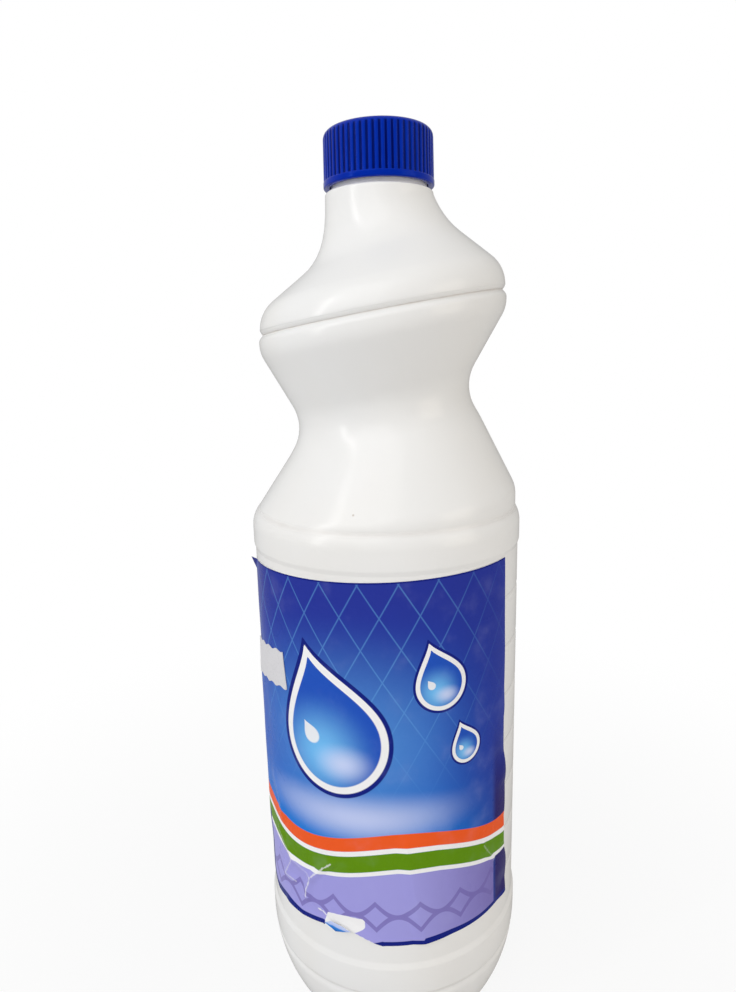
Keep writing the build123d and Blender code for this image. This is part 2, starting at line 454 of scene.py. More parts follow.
class LabelLook(bpy.types.PropertyGroup):
    """Sizes and colours of the label's print."""

    grid: length_prop("Grid", "Longest side of a face in the film", 0.6)
    indigo: colour_prop("Indigo", "Ground at the top", (0.022, 0.036, 0.300))
    royal: colour_prop("Royal blue", "Ground at the middle", (0.018, 0.085, 0.480))
    bright: colour_prop("Bright blue", "Ground above the waves", (0.010, 0.200, 0.680))
    sky: colour_prop("Sky blue", "Drops and glow", (0.170, 0.500, 0.880))
    pale: colour_prop("Pale blue", "Glow under the drops", (0.640, 0.690, 0.930))
    white: colour_prop("White", "Outlines, and film with no print", (0.86, 0.86, 0.87))
    orange: colour_prop("Orange", "Upper wave", (0.830, 0.105, 0.020))
    green: colour_prop("Green", "Lower wave", (0.115, 0.265, 0.006))
    lilac: colour_prop("Lilac", "Field at the bottom", (0.345, 0.330, 0.730))
    # Violet is also the painted shade on the lilac field's right side
    violet: colour_prop("Violet", "Diamonds on the field, and its right side", (0.170, 0.135, 0.420))
    navy: colour_prop("Navy", "Border", (0.008, 0.016, 0.200))
    dusk: colour_prop("Dusk", "Ground at the right edge", (0.015, 0.006, 0.125))
    paper: colour_prop("Paper", "Price sticker", (0.67, 0.665, 0.69))


class StageLook(bpy.types.PropertyGroup):
    """Lights and floor."""

    key: number_prop("Key", "Power of the narrow light at the left", 2.3, "POWER")
    top: number_prop("Top", "Power of the broad light above the front", 2.65, "POWER")
    fill: number_prop("Fill", "Power of the warm light at the right", 2.2, "POWER")
    sky: number_prop("Room", "Strength of the soft light of the room", 0.50)
    lean: number_prop("Lean", "How much brighter the room is at the upper left", 0.4)
    floor: colour_prop("Floor", "Pale floor", (0.74, 0.74, 0.74))


# Lines and rings in the half section


def rounded(corners, rounds, turn_step=TURN_STEP):
    """Points of a line through corners, with an arc of its own radius at each inner corner."""
    points = [Vector(corners[0])]
    for before, corner, after, radius in zip(corners, corners[1:], corners[2:], rounds):
        corner = Vector(corner)
        back = (Vector(before) - corner).normalized()
        ahead = (Vector(after) - corner).normalized()
        half = back.angle(ahead) / 2
        middle = corner + (back + ahead).normalized() * (radius / sin(half))
        start = corner + back * (radius / tan(half)) - middle
        end = corner + ahead * (radius / tan(half)) - middle
        sweep = pi - 2 * half
        steps = max(2, ceil(sweep / turn_step))
        for step in range(steps + 1):
            turn = sweep * step / steps
            points.append(middle + (start * sin(sweep - turn) + end * sin(turn)) / sin(sweep))
    points.append(Vector(corners[-1]))
    return points


def arc(middle, radius, start, end, steps):
    """Points of an arc, angles in radians."""
    turns = [start + (end - start) * step / steps for step in range(steps + 1)]
    return [Vector(middle) + radius * Vector((cos(turn), sin(turn))) for turn in turns]


def refined(points, longest):
    """The same line with no stretch longer than this, and no point twice."""
    fine = [points[0]]
    for start, end in zip(points, points[1:]):
        length = (end - start).length
        steps = ceil(length / longest - TINY) if length > TINY else 0
        fine += [start.lerp(end, step / steps) for step in range(1, steps + 1)]
    return fine


def with_levels(points, levels):
    """The same rising line with a point at each of these heights that it crosses."""
    fine = [points[0]]
    for start, end in zip(points, points[1:]):
        crossed = [level for level in levels if start.y + TINY < level < end.y - TINY]
        fine += [start.lerp(end, (level - start.y) / (end.y - start.y)) for level in sorted(crossed)]
        fine.append(end)
    return fine


def evenly(points, count):
    """Points at even distances along a line, ends included."""
    travel = [0.0]
    for start, end in zip(points, points[1:]):
        travel.append(travel[-1] + (end - start).length)
    spaced = []
    for step in range(count + 1):
        wanted = travel[-1] * step / count
        k = min(bisect_right(travel, wanted), len(points) - 1)
        share = (wanted - travel[k - 1]) / (travel[k] - travel[k - 1])
        spaced.append(points[k - 1].lerp(points[k], share))
    return spaced


def smooth(share):
    """Soft step from 0 to 1 as share goes from 0 to 1."""
    share = min(1.0, max(0.0, share))
    return share * share * (3 - 2 * share)


def bump(distance, width):
    """Round bump of height 1 that is this wide."""
    return cos(pi * distance / width) ** 2 if abs(distance) < width / 2 else 0.0


def dent(distance, width):
    """Bowl of depth 1 that is this wide, with clear rims."""
    return max(0.0, 1 - (2 * distance / width) ** 2)


# Blown bottle


class BottleForm:
    """Points of the bottle's wall, outside and inside, at any angle round its axis."""

    base_steps = 9
    foot_steps = 7
    belly_steps = 14
    dip_steps = 8
    crown_steps = 7
    flare_steps = 16
    edge_steps = 4
    halvings = 24
    ring_gap = 3.0
    neck_gap = 6.0

    def __init__(self, look):
        self.panel = look.panel_radius / MM
        self.band = look.band_radius / MM
        self.collar = look.collar_radius / MM
        self.wall = look.wall / MM
        self.slant = look.slant / MM
        self.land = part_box("bottle")[1].z / MM
        self.grooves = [(dent, HEEL_CREASE, CREASE_WIDTH, CREASE_DEPTH)]
        for step in range(look.rib_count):
            height = (look.rib_first + step * look.rib_pitch) / MM
            self.grooves.append((bump, height, look.rib_width / MM, look.rib_depth / MM))
        self.outer_straight = self.carved(self.straight(0.0))
        self.inner_straight = self.straight(self.wall)
        self.waist = refined(self.waist_line(), self.ring_gap)
        self.shoulder = refined(self.shoulder_line(), self.ring_gap)

    def straight(self, inset):
        """Half section from the middle of the base to the top of the collar, moved in by inset."""
        dome = (RING_INNER**2 + PUSH_UP**2) / (2 * PUSH_UP)
        dome_middle = PUSH_UP - dome
        reach = asin(sqrt((dome + inset) ** 2 - (inset - dome_middle) ** 2) / (dome + inset))
        base = arc((0, dome_middle), dome + inset, pi / 2, pi / 2 - reach, self.base_steps)
        heel_middle = self.band - HEEL_RADIUS
        heel = HEEL_RADIUS - inset
        foot_level = inset + FOOT_RADIUS
        foot_middle = heel_middle + sqrt((heel - FOOT_RADIUS) ** 2 - (HEEL_TOP - foot_level) ** 2)
        turn = atan2(foot_level - HEEL_TOP, foot_middle - heel_middle)
        foot = arc((foot_middle, foot_level), FOOT_RADIUS, -pi / 2, turn, self.foot_steps)
        belly = arc((heel_middle, HEEL_TOP), heel, turn, 0, self.belly_steps)
        side = rounded(
            [
                (self.band - inset, HEEL_TOP),
                (self.band - inset, LEDGE_LOW),
                (self.panel - inset, LEDGE_HIGH),
                (self.panel - inset, PANEL_TOP),
                (self.collar - inset, PANEL_TOP + COLLAR_STEP),
                (self.collar - inset, COLLAR_HIGH),
            ],
            [LEDGE_ROUND, LEDGE_ROUND, COLLAR_ROUND / 2, COLLAR_ROUND],
        )
        base[0].x = 0.0
        return refined(base + foot + belly + side, ANY_LENGTH)

    def carved(self, points):
        """Line of the outside with its shallow dips and its heel crease."""
        levels = []
        for _, height, width, _ in self.grooves:
            levels += [height + width * (step / self.dip_steps - 0.5) for step in range(self.dip_steps + 1)]
        base_end = max(k for k, point in enumerate(points) if point.y < FOOT_RADIUS)
        fine = points[:base_end] + with_levels(points[base_end:], levels)
        for point in fine:
            point.x -= sum(depth * form(point.y - level, width) for form, level, width, depth in self.grooves)
        return fine

    def waist_line(self):
        """Mean profile from inside the collar, in through the waist and out to the slanted groove."""
        return rounded(
            [
                (FLARE_RADIUS, COLLAR_HIGH),
                (FLARE_RADIUS, FLARE_CORNER),
                (WAIST_RADIUS, WAIST_HEIGHT),
                (LIP_RADIUS, LIP_LOW),
                (LIP_RADIUS, LIP_HIGH),
                (GROOVE_RADIUS, GROOVE_HEIGHT),
            ],
            [FLARE_ROUND, WAIST_ROUND, LIP_LOW_ROUND, LIP_HIGH_ROUND],
        )

    def shoulder_line(self):
        """Mean profile from the slanted groove over the shoulder to the neck."""
        return rounded(
            [
                (GROOVE_RADIUS, GROOVE_HEIGHT),
                (SHOULDER_RADIUS, GROOVE_HEIGHT + SHOULDER_STEP),
                (SHOULDER_RADIUS, SHOULDER_CORNER),
                (NECK_ROOT_RADIUS, NECK_CORNER),
                (NECK_ROOT_RADIUS, SLANT_END),
            ],
            [SHOULDER_ROLL, SHOULDER_ROUND, NECK_ROUND],
        )

    def rise_at(self, height):
        """Height of a ring's high side above its middle."""
        if height < SLANT_FULL_FROM:
            share = max(0.0, (height - FLARE_CORNER) / (SLANT_FULL_FROM - FLARE_CORNER))
            return SLANT_RISE_AT_COLLAR + (self.slant - SLANT_RISE_AT_COLLAR) * share
        if height > SLANT_FULL_TO:
            share = min(1.0, (height - SLANT_FULL_TO) / (SLANT_END - SLANT_FULL_TO))
            return self.slant * (1 - share**3)
        return self.slant

    def shoulder_wall(self, height):
        """Wall of the shoulder, which thickens towards the neck."""
        share = max(0.0, (height - GROOVE_HEIGHT) / (SLANT_END - GROOVE_HEIGHT))
        return self.wall + (NECK_ROOT_RADIUS - BORE_RADIUS - self.wall) * share**4

    def tipped(self, points, turn, inset_at):
        """Mean profile at this angle round the bottle, raised by the slant."""
        side = cos(turn - radians(SLANT_BEARING))
        return [Vector((p.x - inset_at(p.y), p.y + self.rise_at(p.y) * side)) for p in points]

    def crown_and_waist(self, turn, inset):
        """Points over the collar's crown to where the tipped waist leaves it, then up the waist."""
        line = self.tipped(self.waist, turn, lambda height: inset)
        middle = Vector((self.collar - CROWN_RADIUS, COLLAR_HIGH))
        reach = CROWN_RADIUS - inset

        def covered(point):
            return point.y < COLLAR_HIGH or (point - middle).length < reach

        last = max(k for k, point in enumerate(line) if covered(point))
        low, high = line[last], line[last + 1]
        for _ in range(self.halvings):
            half = low.lerp(high, 0.5)
            low, high = (half, high) if covered(half) else (low, half)
        top = atan2(low.y - middle.y, low.x - middle.x)
        crown = arc(middle, reach, 0, top, self.crown_steps)
        flare_end = next(k for k, point in enumerate(self.waist) if point.y > FLARE_END)
        flare = evenly([low] + line[last + 1 : flare_end + 1], self.flare_steps)
        return crown[1:], flare[1:], line[flare_end + 1 :]

    def neck(self):
        """Rounded shoulder edge, bead, plain cylinder and land, then down the bore."""
        bead_top = SHOULDER_TOP + NECK_BEAD_HEIGHT
        edge_middle = (NECK_ROOT_RADIUS - SHOULDER_EDGE, SLANT_END)
        edge = arc(edge_middle, SHOULDER_EDGE, 0, pi / 2, self.edge_steps)
        finish = rounded(
            [
                (NECK_ROOT_RADIUS - SHOULDER_EDGE, SHOULDER_TOP),
                (NECK_BEAD_RADIUS, SHOULDER_TOP),
                (NECK_BEAD_RADIUS, bead_top),
                (FINISH_RADIUS, bead_top + NECK_CHAMFER),
                (FINISH_RADIUS, self.land - NECK_CHAMFER),
                (FINISH_RADIUS - NECK_CHAMFER, self.land),
                (BORE_RADIUS, self.land),
                (BORE_RADIUS, SLANT_END),
            ],
            [NECK_EDGE] * 6,
            NECK_TURN_STEP,
        )
        return edge[1:] + refined(finish, self.neck_gap)[1:]

    def column(self, turn):
        """The whole wall at one angle: up the outside, over the land and down the inside to the base."""
        crown, flare, waist = self.crown_and_waist(turn, 0.0)
        shoulder = self.tipped(self.shoulder, turn, lambda height: 0.0)
        outside = self.outer_straight + crown + flare + waist + shoulder[1:]
        inner_crown, inner_flare, inner_waist = self.crown_and_waist(turn, self.wall)
        inner_shoulder = self.tipped(self.shoulder, turn, self.shoulder_wall)
        inside = self.inner_straight + inner_crown + inner_flare + inner_waist + inner_shoulder[1:]
        return outside + self.neck() + inside[-2::-1]

    def soil(self):
        """How much soil and painted shade each point of a column has: most in the heel's crease and the
        slanted groove.
        """
        lines = [
            (HEEL_SOIL_AND_SHADE, HEEL_SOIL_AND_SHADE_HEIGHT, HEEL_SOIL_AND_SHADE_WIDTH),
            (COLLAR_SOIL_AND_SHADE, COLLAR_SOIL_AND_SHADE_HEIGHT, COLLAR_SOIL_AND_SHADE_WIDTH),
        ]
        lines += [(DIP_SOIL_AND_SHADE, height, DIP_SOIL_AND_SHADE_WIDTH) for _, height, _, _ in self.grooves[1:]]
        dirt_and_shade = [
            sum(amount * bump(point.y - height, width) for amount, height, width in lines)
            for point in self.outer_straight
        ]
        crown, flare, waist = self.crown_and_waist(0.0, 0.0)
        fade = CROWN_SOIL_AND_SHADE_ROWS
        dirt_and_shade += [CROWN_SOIL_AND_SHADE * smooth((k - fade) / fade) for k in range(len(crown))]
        dirt_and_shade += [CROWN_SOIL_AND_SHADE * smooth(1 - (k + 1) / fade) for k in range(len(flare))]
        line = self.waist[len(self.waist) - len(waist) :] + self.shoulder[1:]
        dirt_and_shade += [GROOVE_SOIL_AND_SHADE * bump(point.y - GROOVE_HEIGHT, GROOVE_SOIL_AND_SHADE_WIDTH) for point in line]
        return dirt_and_shade


def ring_mesh(name, columns, marks):
    """Closed mesh of columns of (radius, height) round the axis, each row with its own value of soil and
    painted shade.
    """
    rows = len(columns[0])
    count = len(columns)
    points = [(0.0, 0.0, columns[0][0].y * MM), (0.0, 0.0, columns[0][-1].y * MM)]
    for k, column in enumerate(columns):
        turn = 2 * pi * k / count
        points += [(p.x * cos(turn) * MM, p.x * sin(turn) * MM, p.y * MM) for p in column[1:-1]]
    inner_rows = rows - 2
    faces = []
    for k in range(count):
        here = 2 + k * inner_rows
        there = 2 + (k + 1) % count * inner_rows
        faces.append((0, there, here))
        faces.append((1, here + inner_rows - 1, there + inner_rows - 1))
        faces += [(here + j, there + j, there + j + 1, here + j + 1) for j in range(inner_rows - 1)]
    mesh = bpy.data.meshes.new(name)
    mesh.from_pydata(points, [], faces)
    soil = mesh.attributes.new("soil", "FLOAT", "POINT")
    marks = marks + [0.0] * (rows - len(marks))
    soil.data.foreach_set("value", [marks[0], marks[-1]] + marks[1:-1] * count)
    mesh.update()
    return mesh


# Meshes and Geometry Nodes


def placed(name, mesh):
    """New object at the origin that shows this mesh."""
    piece = bpy.data.objects.new(name, mesh)
    bpy.context.scene.collection.objects.link(piece)
    return piece


def shaded(mesh, sharp_from):
    """Smooth shading with edges kept sharp from this angle in degrees."""
    mesh.shade_smooth()
    mesh.set_sharp_from_angle(angle=radians(sharp_from))


def settled(piece):
    """Turns a piece's modifiers into a plain mesh."""
    depsgraph = bpy.context.evaluated_depsgraph_get()
    mesh = bpy.data.meshes.new_from_object(piece.evaluated_get(depsgraph), depsgraph=depsgraph)
    piece.modifiers.clear()
    piece.data = mesh
    mesh.name = piece.name


class NodeTree:
    """Geometry node tree with named inputs."""

    def __init__(self, name, inputs):
        self.tree = bpy.data.node_groups.new(name, "GeometryNodeTree")
        for socket, kind in inputs.items():
            self.tree.interface.new_socket(name=socket, in_out="INPUT", socket_type="NodeSocket" + kind)
        self.tree.interface.new_socket(name="Mesh", in_out="OUTPUT", socket_type="NodeSocketGeometry")
        self.inputs = self.tree.nodes.new("NodeGroupInput").outputs

    def node(self, kind, values=None, **settings):
        """New node with its settings, and its inputs linked or set."""
        made = self.tree.nodes.new(kind)
        for setting, value in settings.items():
            setattr(made, setting, value)
        for socket, value in (values or {}).items():
            if isinstance(value, bpy.types.NodeSocket):
                self.tree.links.new(value, made.inputs[socket])
            else:
                made.inputs[socket].default_value = value
        return made.outputs[0]

    def math(self, operation, first, second=0.0):
        """Result of an operation on two numbers or outputs."""
        return self.node("ShaderNodeMath", {0: first, 1: second}, operation=operation)

    def end(self, geometry):
        """Closes the tree with real geometry that has its material."""
        real = self.node("GeometryNodeRealizeInstances", {"Geometry": geometry})
        merged = self.node("GeometryNodeMergeByDistance", {"Geometry": real, "Distance": WELD})
        finished = self.node(
            "GeometryNodeSetMaterial", {"Geometry": merged, "Material": self.inputs["Material"]}
        )
        self.tree.links.new(finished, self.tree.nodes.new("NodeGroupOutput").inputs[0])

    def grow(self, name, values):
        """New piece with the tree's result as its mesh."""
        piece = placed(name, bpy.data.meshes.new(name))
        modifier = piece.modifiers.new("Grow", "NODES")
        modifier.node_group = self.tree
        for item in self.tree.interface.items_tree:
            if item.in_out == "INPUT":
                modifier[item.identifier] = values[item.name]
        settled(piece)
        return piece


def ring_of_ribs():
    """Tree that sets one rib of the cap round the axis as often as the cap has ribs."""
    nodes = NodeTree("Ring of ribs", {"Rib": "Object", "Count": "Int", "Material": "Material"})
    rib = nodes.tree.nodes.new("GeometryNodeObjectInfo")
    nodes.tree.links.new(nodes.inputs["Rib"], rib.inputs["Object"])
    points = nodes.node("GeometryNodePoints", {"Count": nodes.inputs["Count"]})
    index = nodes.node("GeometryNodeInputIndex")
    pitch = nodes.math("DIVIDE", 2 * pi, nodes.inputs["Count"])
    turn = nodes.node("ShaderNodeCombineXYZ", {"Z": nodes.math("MULTIPLY", index, pitch)})
    ring = nodes.node(
        "GeometryNodeInstanceOnPoints",
        {"Points": points, "Instance": rib.outputs["Geometry"], "Rotation": turn},
    )
    nodes.end(ring)
    return nodes


def screw_thread():
    """Tree that winds a half-round ridge up a wall, thinning out at both ends."""
    inputs = {
        "Wall radius": "Float",
        "Ridge": "Float",
        "Lead": "Float",
        "Turns": "Float",
        "Start height": "Float",
        "Start angle": "Float",
        "Run-out": "Float",
        "Material": "Material",
    }
    nodes = NodeTree("Screw thread", inputs)
    given = nodes.inputs
    height = nodes.math("MULTIPLY", given["Lead"], given["Turns"])
    helix = nodes.node(
        "GeometryNodeCurveSpiral",
        {
            "Resolution": THREAD_STEPS,
            "Rotations": given["Turns"],
            "Start Radius": given["Wall radius"],
            "End Radius": given["Wall radius"],
            "Height": height,
        },
    )
    upright = nodes.node("GeometryNodeSetCurveNormal", {"Curve": helix}, mode="Z_UP")
    along = nodes.node("GeometryNodeSplineParameter")
    near_end = nodes.math("MINIMUM", along, nodes.math("SUBTRACT", 1.0, along))
    swell = nodes.math("MINIMUM", nodes.math("DIVIDE", near_end, given["Run-out"]), 1.0)
    thickness = nodes.math("MULTIPLY", nodes.math("MAXIMUM", swell, THREAD_THINNEST), given["Ridge"])
    section = nodes.node("GeometryNodeCurvePrimitiveCircle", {"Resolution": THREAD_SIDES, "Radius": 1.0})
    ridge = nodes.node(
        "GeometryNodeCurveToMesh",
        {"Curve": upright, "Profile Curve": section, "Scale": thickness, "Fill Caps": True},
    )
    lift = nodes.node("ShaderNodeCombineXYZ", {"Z": given["Start height"]})
    turn = nodes.node("ShaderNodeCombineXYZ", {"Z": given["Start angle"]})
    nodes.end(nodes.node("GeometryNodeTransform", {"Geometry": ridge, "Translation": lift, "Rotation": turn}))
    return nodes


def wound_thread(name, wall, ridge, turns, start, lag, plastic):
    """Thread on a round wall, sizes in millimetres and its lag as a part of a turn."""
    thread = screw_thread().grow(
        name,
        {
            "Wall radius": wall * MM,
            "Ridge": ridge * MM,
            "Lead": THREAD_LEAD * MM,
            "Turns": turns,
            "Start height": start * MM,
            "Start angle": 2 * pi * lag,
            "Run-out": THREAD_RUN_OUT,
            "Material": plastic,
        },
    )
    shaded(thread.data, THREAD_SHARP)
    return thread


# Shaders


class Field:
    """Number that a shader works out at each point, written with the usual signs."""

    def __init__(self, tree, socket):
        self.tree = tree
        self.socket = socket

    def math(self, operation, other=0.0):
        node = self.tree.nodes.new("ShaderNodeMath")
        node.operation = operation
        for socket, value in zip(node.inputs, (self, other)):
            if isinstance(value, Field):
                self.tree.links.new(value.socket, socket)
            else:
                socket.default_value = value
        return Field(self.tree, node.outputs[0])

    def __add__(self, other):
        return self.math("ADD", other)

    def __sub__(self, other):
        return self.math("SUBTRACT", other)

    def __mul__(self, other):
        return self.math("MULTIPLY", other)

    def __truediv__(self, other):
        return self.math("DIVIDE", other)

    def __pow__(self, other):
        return self.math("POWER", other)

    def __abs__(self):
        return self.math("ABSOLUTE")

    def less(self):
        """1 less this number."""
        return (self * -1.0) + 1.0

    def root(self):
        return self.math("SQRT")

    def wave(self):
        return self.math("SINE")

    def least(self, other):
        return self.math("MINIMUM", other)

    def most(self, other):
        return self.math("MAXIMUM", other)

    def step(self, start, end):
        """Soft step from 0 at start to 1 at end."""
        node = self.tree.nodes.new("ShaderNodeMapRange")
        node.interpolation_type = "SMOOTHSTEP"
        self.tree.links.new(self.socket, node.inputs["Value"])
        node.inputs["From Min"].default_value = min(start, end)
        node.inputs["From Max"].default_value = max(start, end)
        node.inputs["To Min"].default_value = 0.0 if start < end else 1.0
        node.inputs["To Max"].default_value = 1.0 if start < end else 0.0
        return Field(self.tree, node.outputs[0])

    def between(self, low, high, soft):
        """1 from low to high and 0 outside, with soft edges."""
        return self.step(low - soft, low + soft) * self.step(high + soft, high - soft)


class Finish:
    """Material whose colour, roughness and bump are built up in layers."""

    def __init__(self, name, roughness, **constants):
        self.material = bpy.data.materials.new(name)
        self.material.use_nodes = True
        self.tree = self.material.node_tree
        self.shader = self.tree.nodes["Principled BSDF"]
        self.shader.inputs["Roughness"].default_value = roughness
        for socket, value in constants.items():
            self.shader.inputs[socket.replace("_", " ")].default_value = value
        self.place = self.tree.nodes.new("ShaderNodeTexCoord").outputs["Object"]

    def attribute(self, name):
        """Number that the mesh holds at each point."""
        node = self.tree.nodes.new("ShaderNodeAttribute")
        node.attribute_name = name
        return Field(self.tree, node.outputs["Fac"])

    def noise(self, size, detail=3.0, stretch=(1.0, 1.0, 1.0)):
        """Even noise with spots of about this size in millimetres, on Object coordinates in metres."""
        mapping = self.tree.nodes.new("ShaderNodeMapping")
        mapping.inputs["Scale"].default_value = [1 / (size * MM * share) for share in stretch]
        self.tree.links.new(self.place, mapping.inputs["Vector"])
        node = self.tree.nodes.new("ShaderNodeTexNoise")
        node.inputs["Scale"].default_value = 1.0
        node.inputs["Detail"].default_value = detail
        self.tree.links.new(mapping.outputs[0], node.inputs["Vector"])
        return Field(self.tree, node.outputs["Fac"])

    def distance(self, point):
        """Distance from a point that is given in millimetres."""
        node = self.tree.nodes.new("ShaderNodeVectorMath")
        node.operation = "DISTANCE"
        self.tree.links.new(self.place, node.inputs[0])
        node.inputs[1].default_value = Vector(point) * MM
        return Field(self.tree, node.outputs["Value"])

    def mix(self, under, over, amount):
        """One colour laid over another by an amount from 0 to 1."""
        node = self.tree.nodes.new("ShaderNodeMix")
        node.data_type = "RGBA"
        self.tree.links.new(amount.socket, node.inputs["Factor"])
        for socket, value in ((node.inputs[6], under), (node.inputs[7], over)):
            if isinstance(value, bpy.types.NodeSocket):
                self.tree.links.new(value, socket)
            else:
                socket.default_value = (*value, 1.0)
        return node.outputs[2]

    def colour(self, socket):
        self.tree.links.new(socket, self.shader.inputs["Base Color"])

    def roughness(self, field):
        self.tree.links.new(field.socket, self.shader.inputs["Roughness"])

    def bumps(self, field, depth):
        """Relief of this depth in millimetres."""
        node = self.tree.nodes.new("ShaderNodeBump")
        node.inputs["Strength"].default_value = 1.0
        node.inputs["Distance"].default_value = depth * MM
        self.tree.links.new(field.socket, node.inputs["Height"])
        self.tree.links.new(node.outputs[0], self.shader.inputs["Normal"])


def blown_plastic(look):
    """Milky satin plastic, a little uneven, with soil and painted shade in its creases."""
    finish = Finish("Blown white plastic", 0.36, IOR=1.5, Specular_IOR_Level=0.4)
    cloud = finish.noise(38.0, 2.0, (1.0, 1.0, 2.2))
    body = finish.mix(look.plastic, look.warm, cloud.step(0.42, 0.78))
    grain = finish.noise(0.9, 4.0)
    patchy = finish.noise(4.5, 3.0)
    # The creases are darkened by soil and painted shade, from the mesh's soil value
    soil = finish.attribute("soil") * (patchy * 0.7 + 0.55)
    body = finish.mix(body, look.soil, soil.step(0.05, 1.15))
    speck = finish.distance(SPECK).step(SPECK_SIZE * MM, SPECK_CORE * MM)
    finish.colour(finish.mix(body, look.soil, speck * SPECK_TONE))
    finish.roughness(cloud * 0.10 + 0.18 + soil * 0.2)
    drawn = finish.noise(2.2, 2.0, (1.0, 1.0, 18.0))
    finish.bumps(grain * 0.6 + cloud * 6.0 + drawn, 0.012)
    return finish.material


def moulded_plastic(look):
    """Royal blue moulded plastic with painted shade in the grooves, with a fine spark-eroded grain."""
    finish = Finish("Moulded blue plastic", 0.3, IOR=1.5, Specular_IOR_Level=0.22)
    finish.shader.inputs["Specular Tint"].default_value = (*look.gloss, 1.0)
    grain = finish.noise(0.35, 3.0)
    cloud = finish.noise(7.0, 2.0)
    # Painted shade in the grooves, with a little random mottling from the cloud
    depth = finish.attribute("groove")
    blue = finish.mix(look.plastic, look.groove_shade, (depth * 0.75 + cloud * 0.25).step(0.1, 1.0))
    finish.colour(blue)
    finish.roughness(cloud * 0.06 + 0.12)
    finish.bumps(grain, 0.02)
    return finish.material


def sealing_foam(look):
    """Fine-celled foam of the sealing wad."""
    finish = Finish("Sealing foam", 0.8, Specular_IOR_Level=0.3)
    cells = finish.noise(0.5, 4.0)
    finish.colour(finish.mix(look.foam, [0.8 * c for c in look.foam], cells.step(0.45, 0.75)))
    finish.bumps(cells, 0.05)
    return finish.material


class Print(Finish):
    """Label print, drawn in millimetres from the label's middle."""

    def __init__(self, name, roughness, **constants):
        super().__init__(name, roughness, **constants)
        uv = self.tree.nodes.new("ShaderNodeUVMap")
        uv.uv_map = "print"
        apart = self.tree.nodes.new("ShaderNodeSeparateXYZ")
        self.tree.links.new(uv.outputs[0], apart.inputs[0])
        self.along = (Field(self.tree, apart.outputs[0]) - 0.5) * PRINT_SIDE
        self.up = (Field(self.tree, apart.outputs[1]) - 0.5) * PRINT_SIDE

    def drop(self, along, up, radius, tilt):
        """Field of a water drop: under 1 inside, 1 at its edge, more outside."""
        x = ((self.along - along) * cos(tilt) + (self.up - up) * sin(tilt)) / radius
        y = ((self.up - up) * cos(tilt) - (self.along - along) * sin(tilt)) / radius
        fall = y.most(0.0).least(DROP_TIP) * (pi / 2 / DROP_TIP)
        taper = (fall + pi / 2).wave().most(DROP_NARROWEST) ** DROP_CURVE
        wide = abs(x) / taper
        low = y.least(0.0)
        over = (y - DROP_END).most(0.0) * DROP_CLOSING
        return (wide * wide + low * low).root() + over

    def crease(self, points):
        """Distance from a line of places on the label."""
        nearest = None
        for start, end in zip(points, points[1:]):
            run = Vector(end) - Vector(start)
            x = self.along - start[0]
            y = self.up - start[1]
            share = ((x * run.x + y * run.y) / run.length_squared).most(0.0).least(1.0)
            off_x = x - share * run.x
            off_y = y - share * run.y
            far = (off_x * off_x + off_y * off_y).root()
            nearest = nearest.least(far) if nearest else far
        return nearest

    def glow(self, along, up, wide, high):
        """Soft spot that is 1 at its middle and 0 at its edge."""
        x = (self.along - along) / wide
        y = (self.up - up) / high
        return (x * x + y * y).root().step(1.0, 0.0)


def label_ground(finish, look):
    """Blue ground, deeper towards the top, darker towards the right by painted shade, with a faint lattice
    and a pale glow.
    """
    along, up = finish.along, finish.up
    ground = finish.mix(look.bright, look.royal, up.step(*MIDDLE_FADE))
    ground = finish.mix(ground, look.indigo, up.step(*TOP_FADE))
    ground = finish.mix(ground, look.sky, finish.glow(*SKY_GLOW) * 0.40)
    ground = finish.mix(ground, look.pale, finish.glow(*PALE_GLOW) * 0.75)
    rising = ((along + up * LATTICE_SLOPE) * (pi / LATTICE_PITCH)).wave()
    falling = ((along - up * LATTICE_SLOPE) * (pi / LATTICE_PITCH)).wave()
    lattice = abs(rising).least(abs(falling)).step(LATTICE_LINE, 0.0)
    ground = finish.mix(ground, look.sky, lattice * up.step(*LATTICE_FADE) * 0.30)
    # Painted shade: the ground darkens to indigo towards the right
    return finish.mix(ground, look.indigo, along.step(*RIGHT_SHADE) * 0.85)


def in_drop(place, size, shares):
    """Place and reach in a drop from shares of the drop's size."""
    along, up, *reach = (share * size for share in shares)
    return (place[0] + along, place[1] + up, *reach)


def print_drop(finish, look, ground, place, size):
    """A glossy water drop with a white and a navy outline."""
    drop = finish.drop(*place, size, DROP_TILT)
    for width, share, colour in DROP_OUTLINES:
        grown = finish.drop(*place, size + (width + share * size), DROP_TILT)
        ground = finish.mix(ground, getattr(look, colour), grown.step(1.0, 0.98))
    inside = drop.step(1.0, 0.97)
    ground = finish.mix(ground, look.royal, inside)
    lit = finish.glow(*in_drop(place, size, DROP_LIT))
    ground = finish.mix(ground, look.sky, lit * inside)
    core = finish.glow(*in_drop(place, size, DROP_CORE))
    ground = finish.mix(ground, look.pale, core * inside * 0.8)
    shine = finish.drop(*in_drop(place, size, DROP_SHINE), DROP_TILT + DROP_SHINE_TILT)
    return finish.mix(ground, look.white, shine.step(1.0, 0.8) * 0.9)


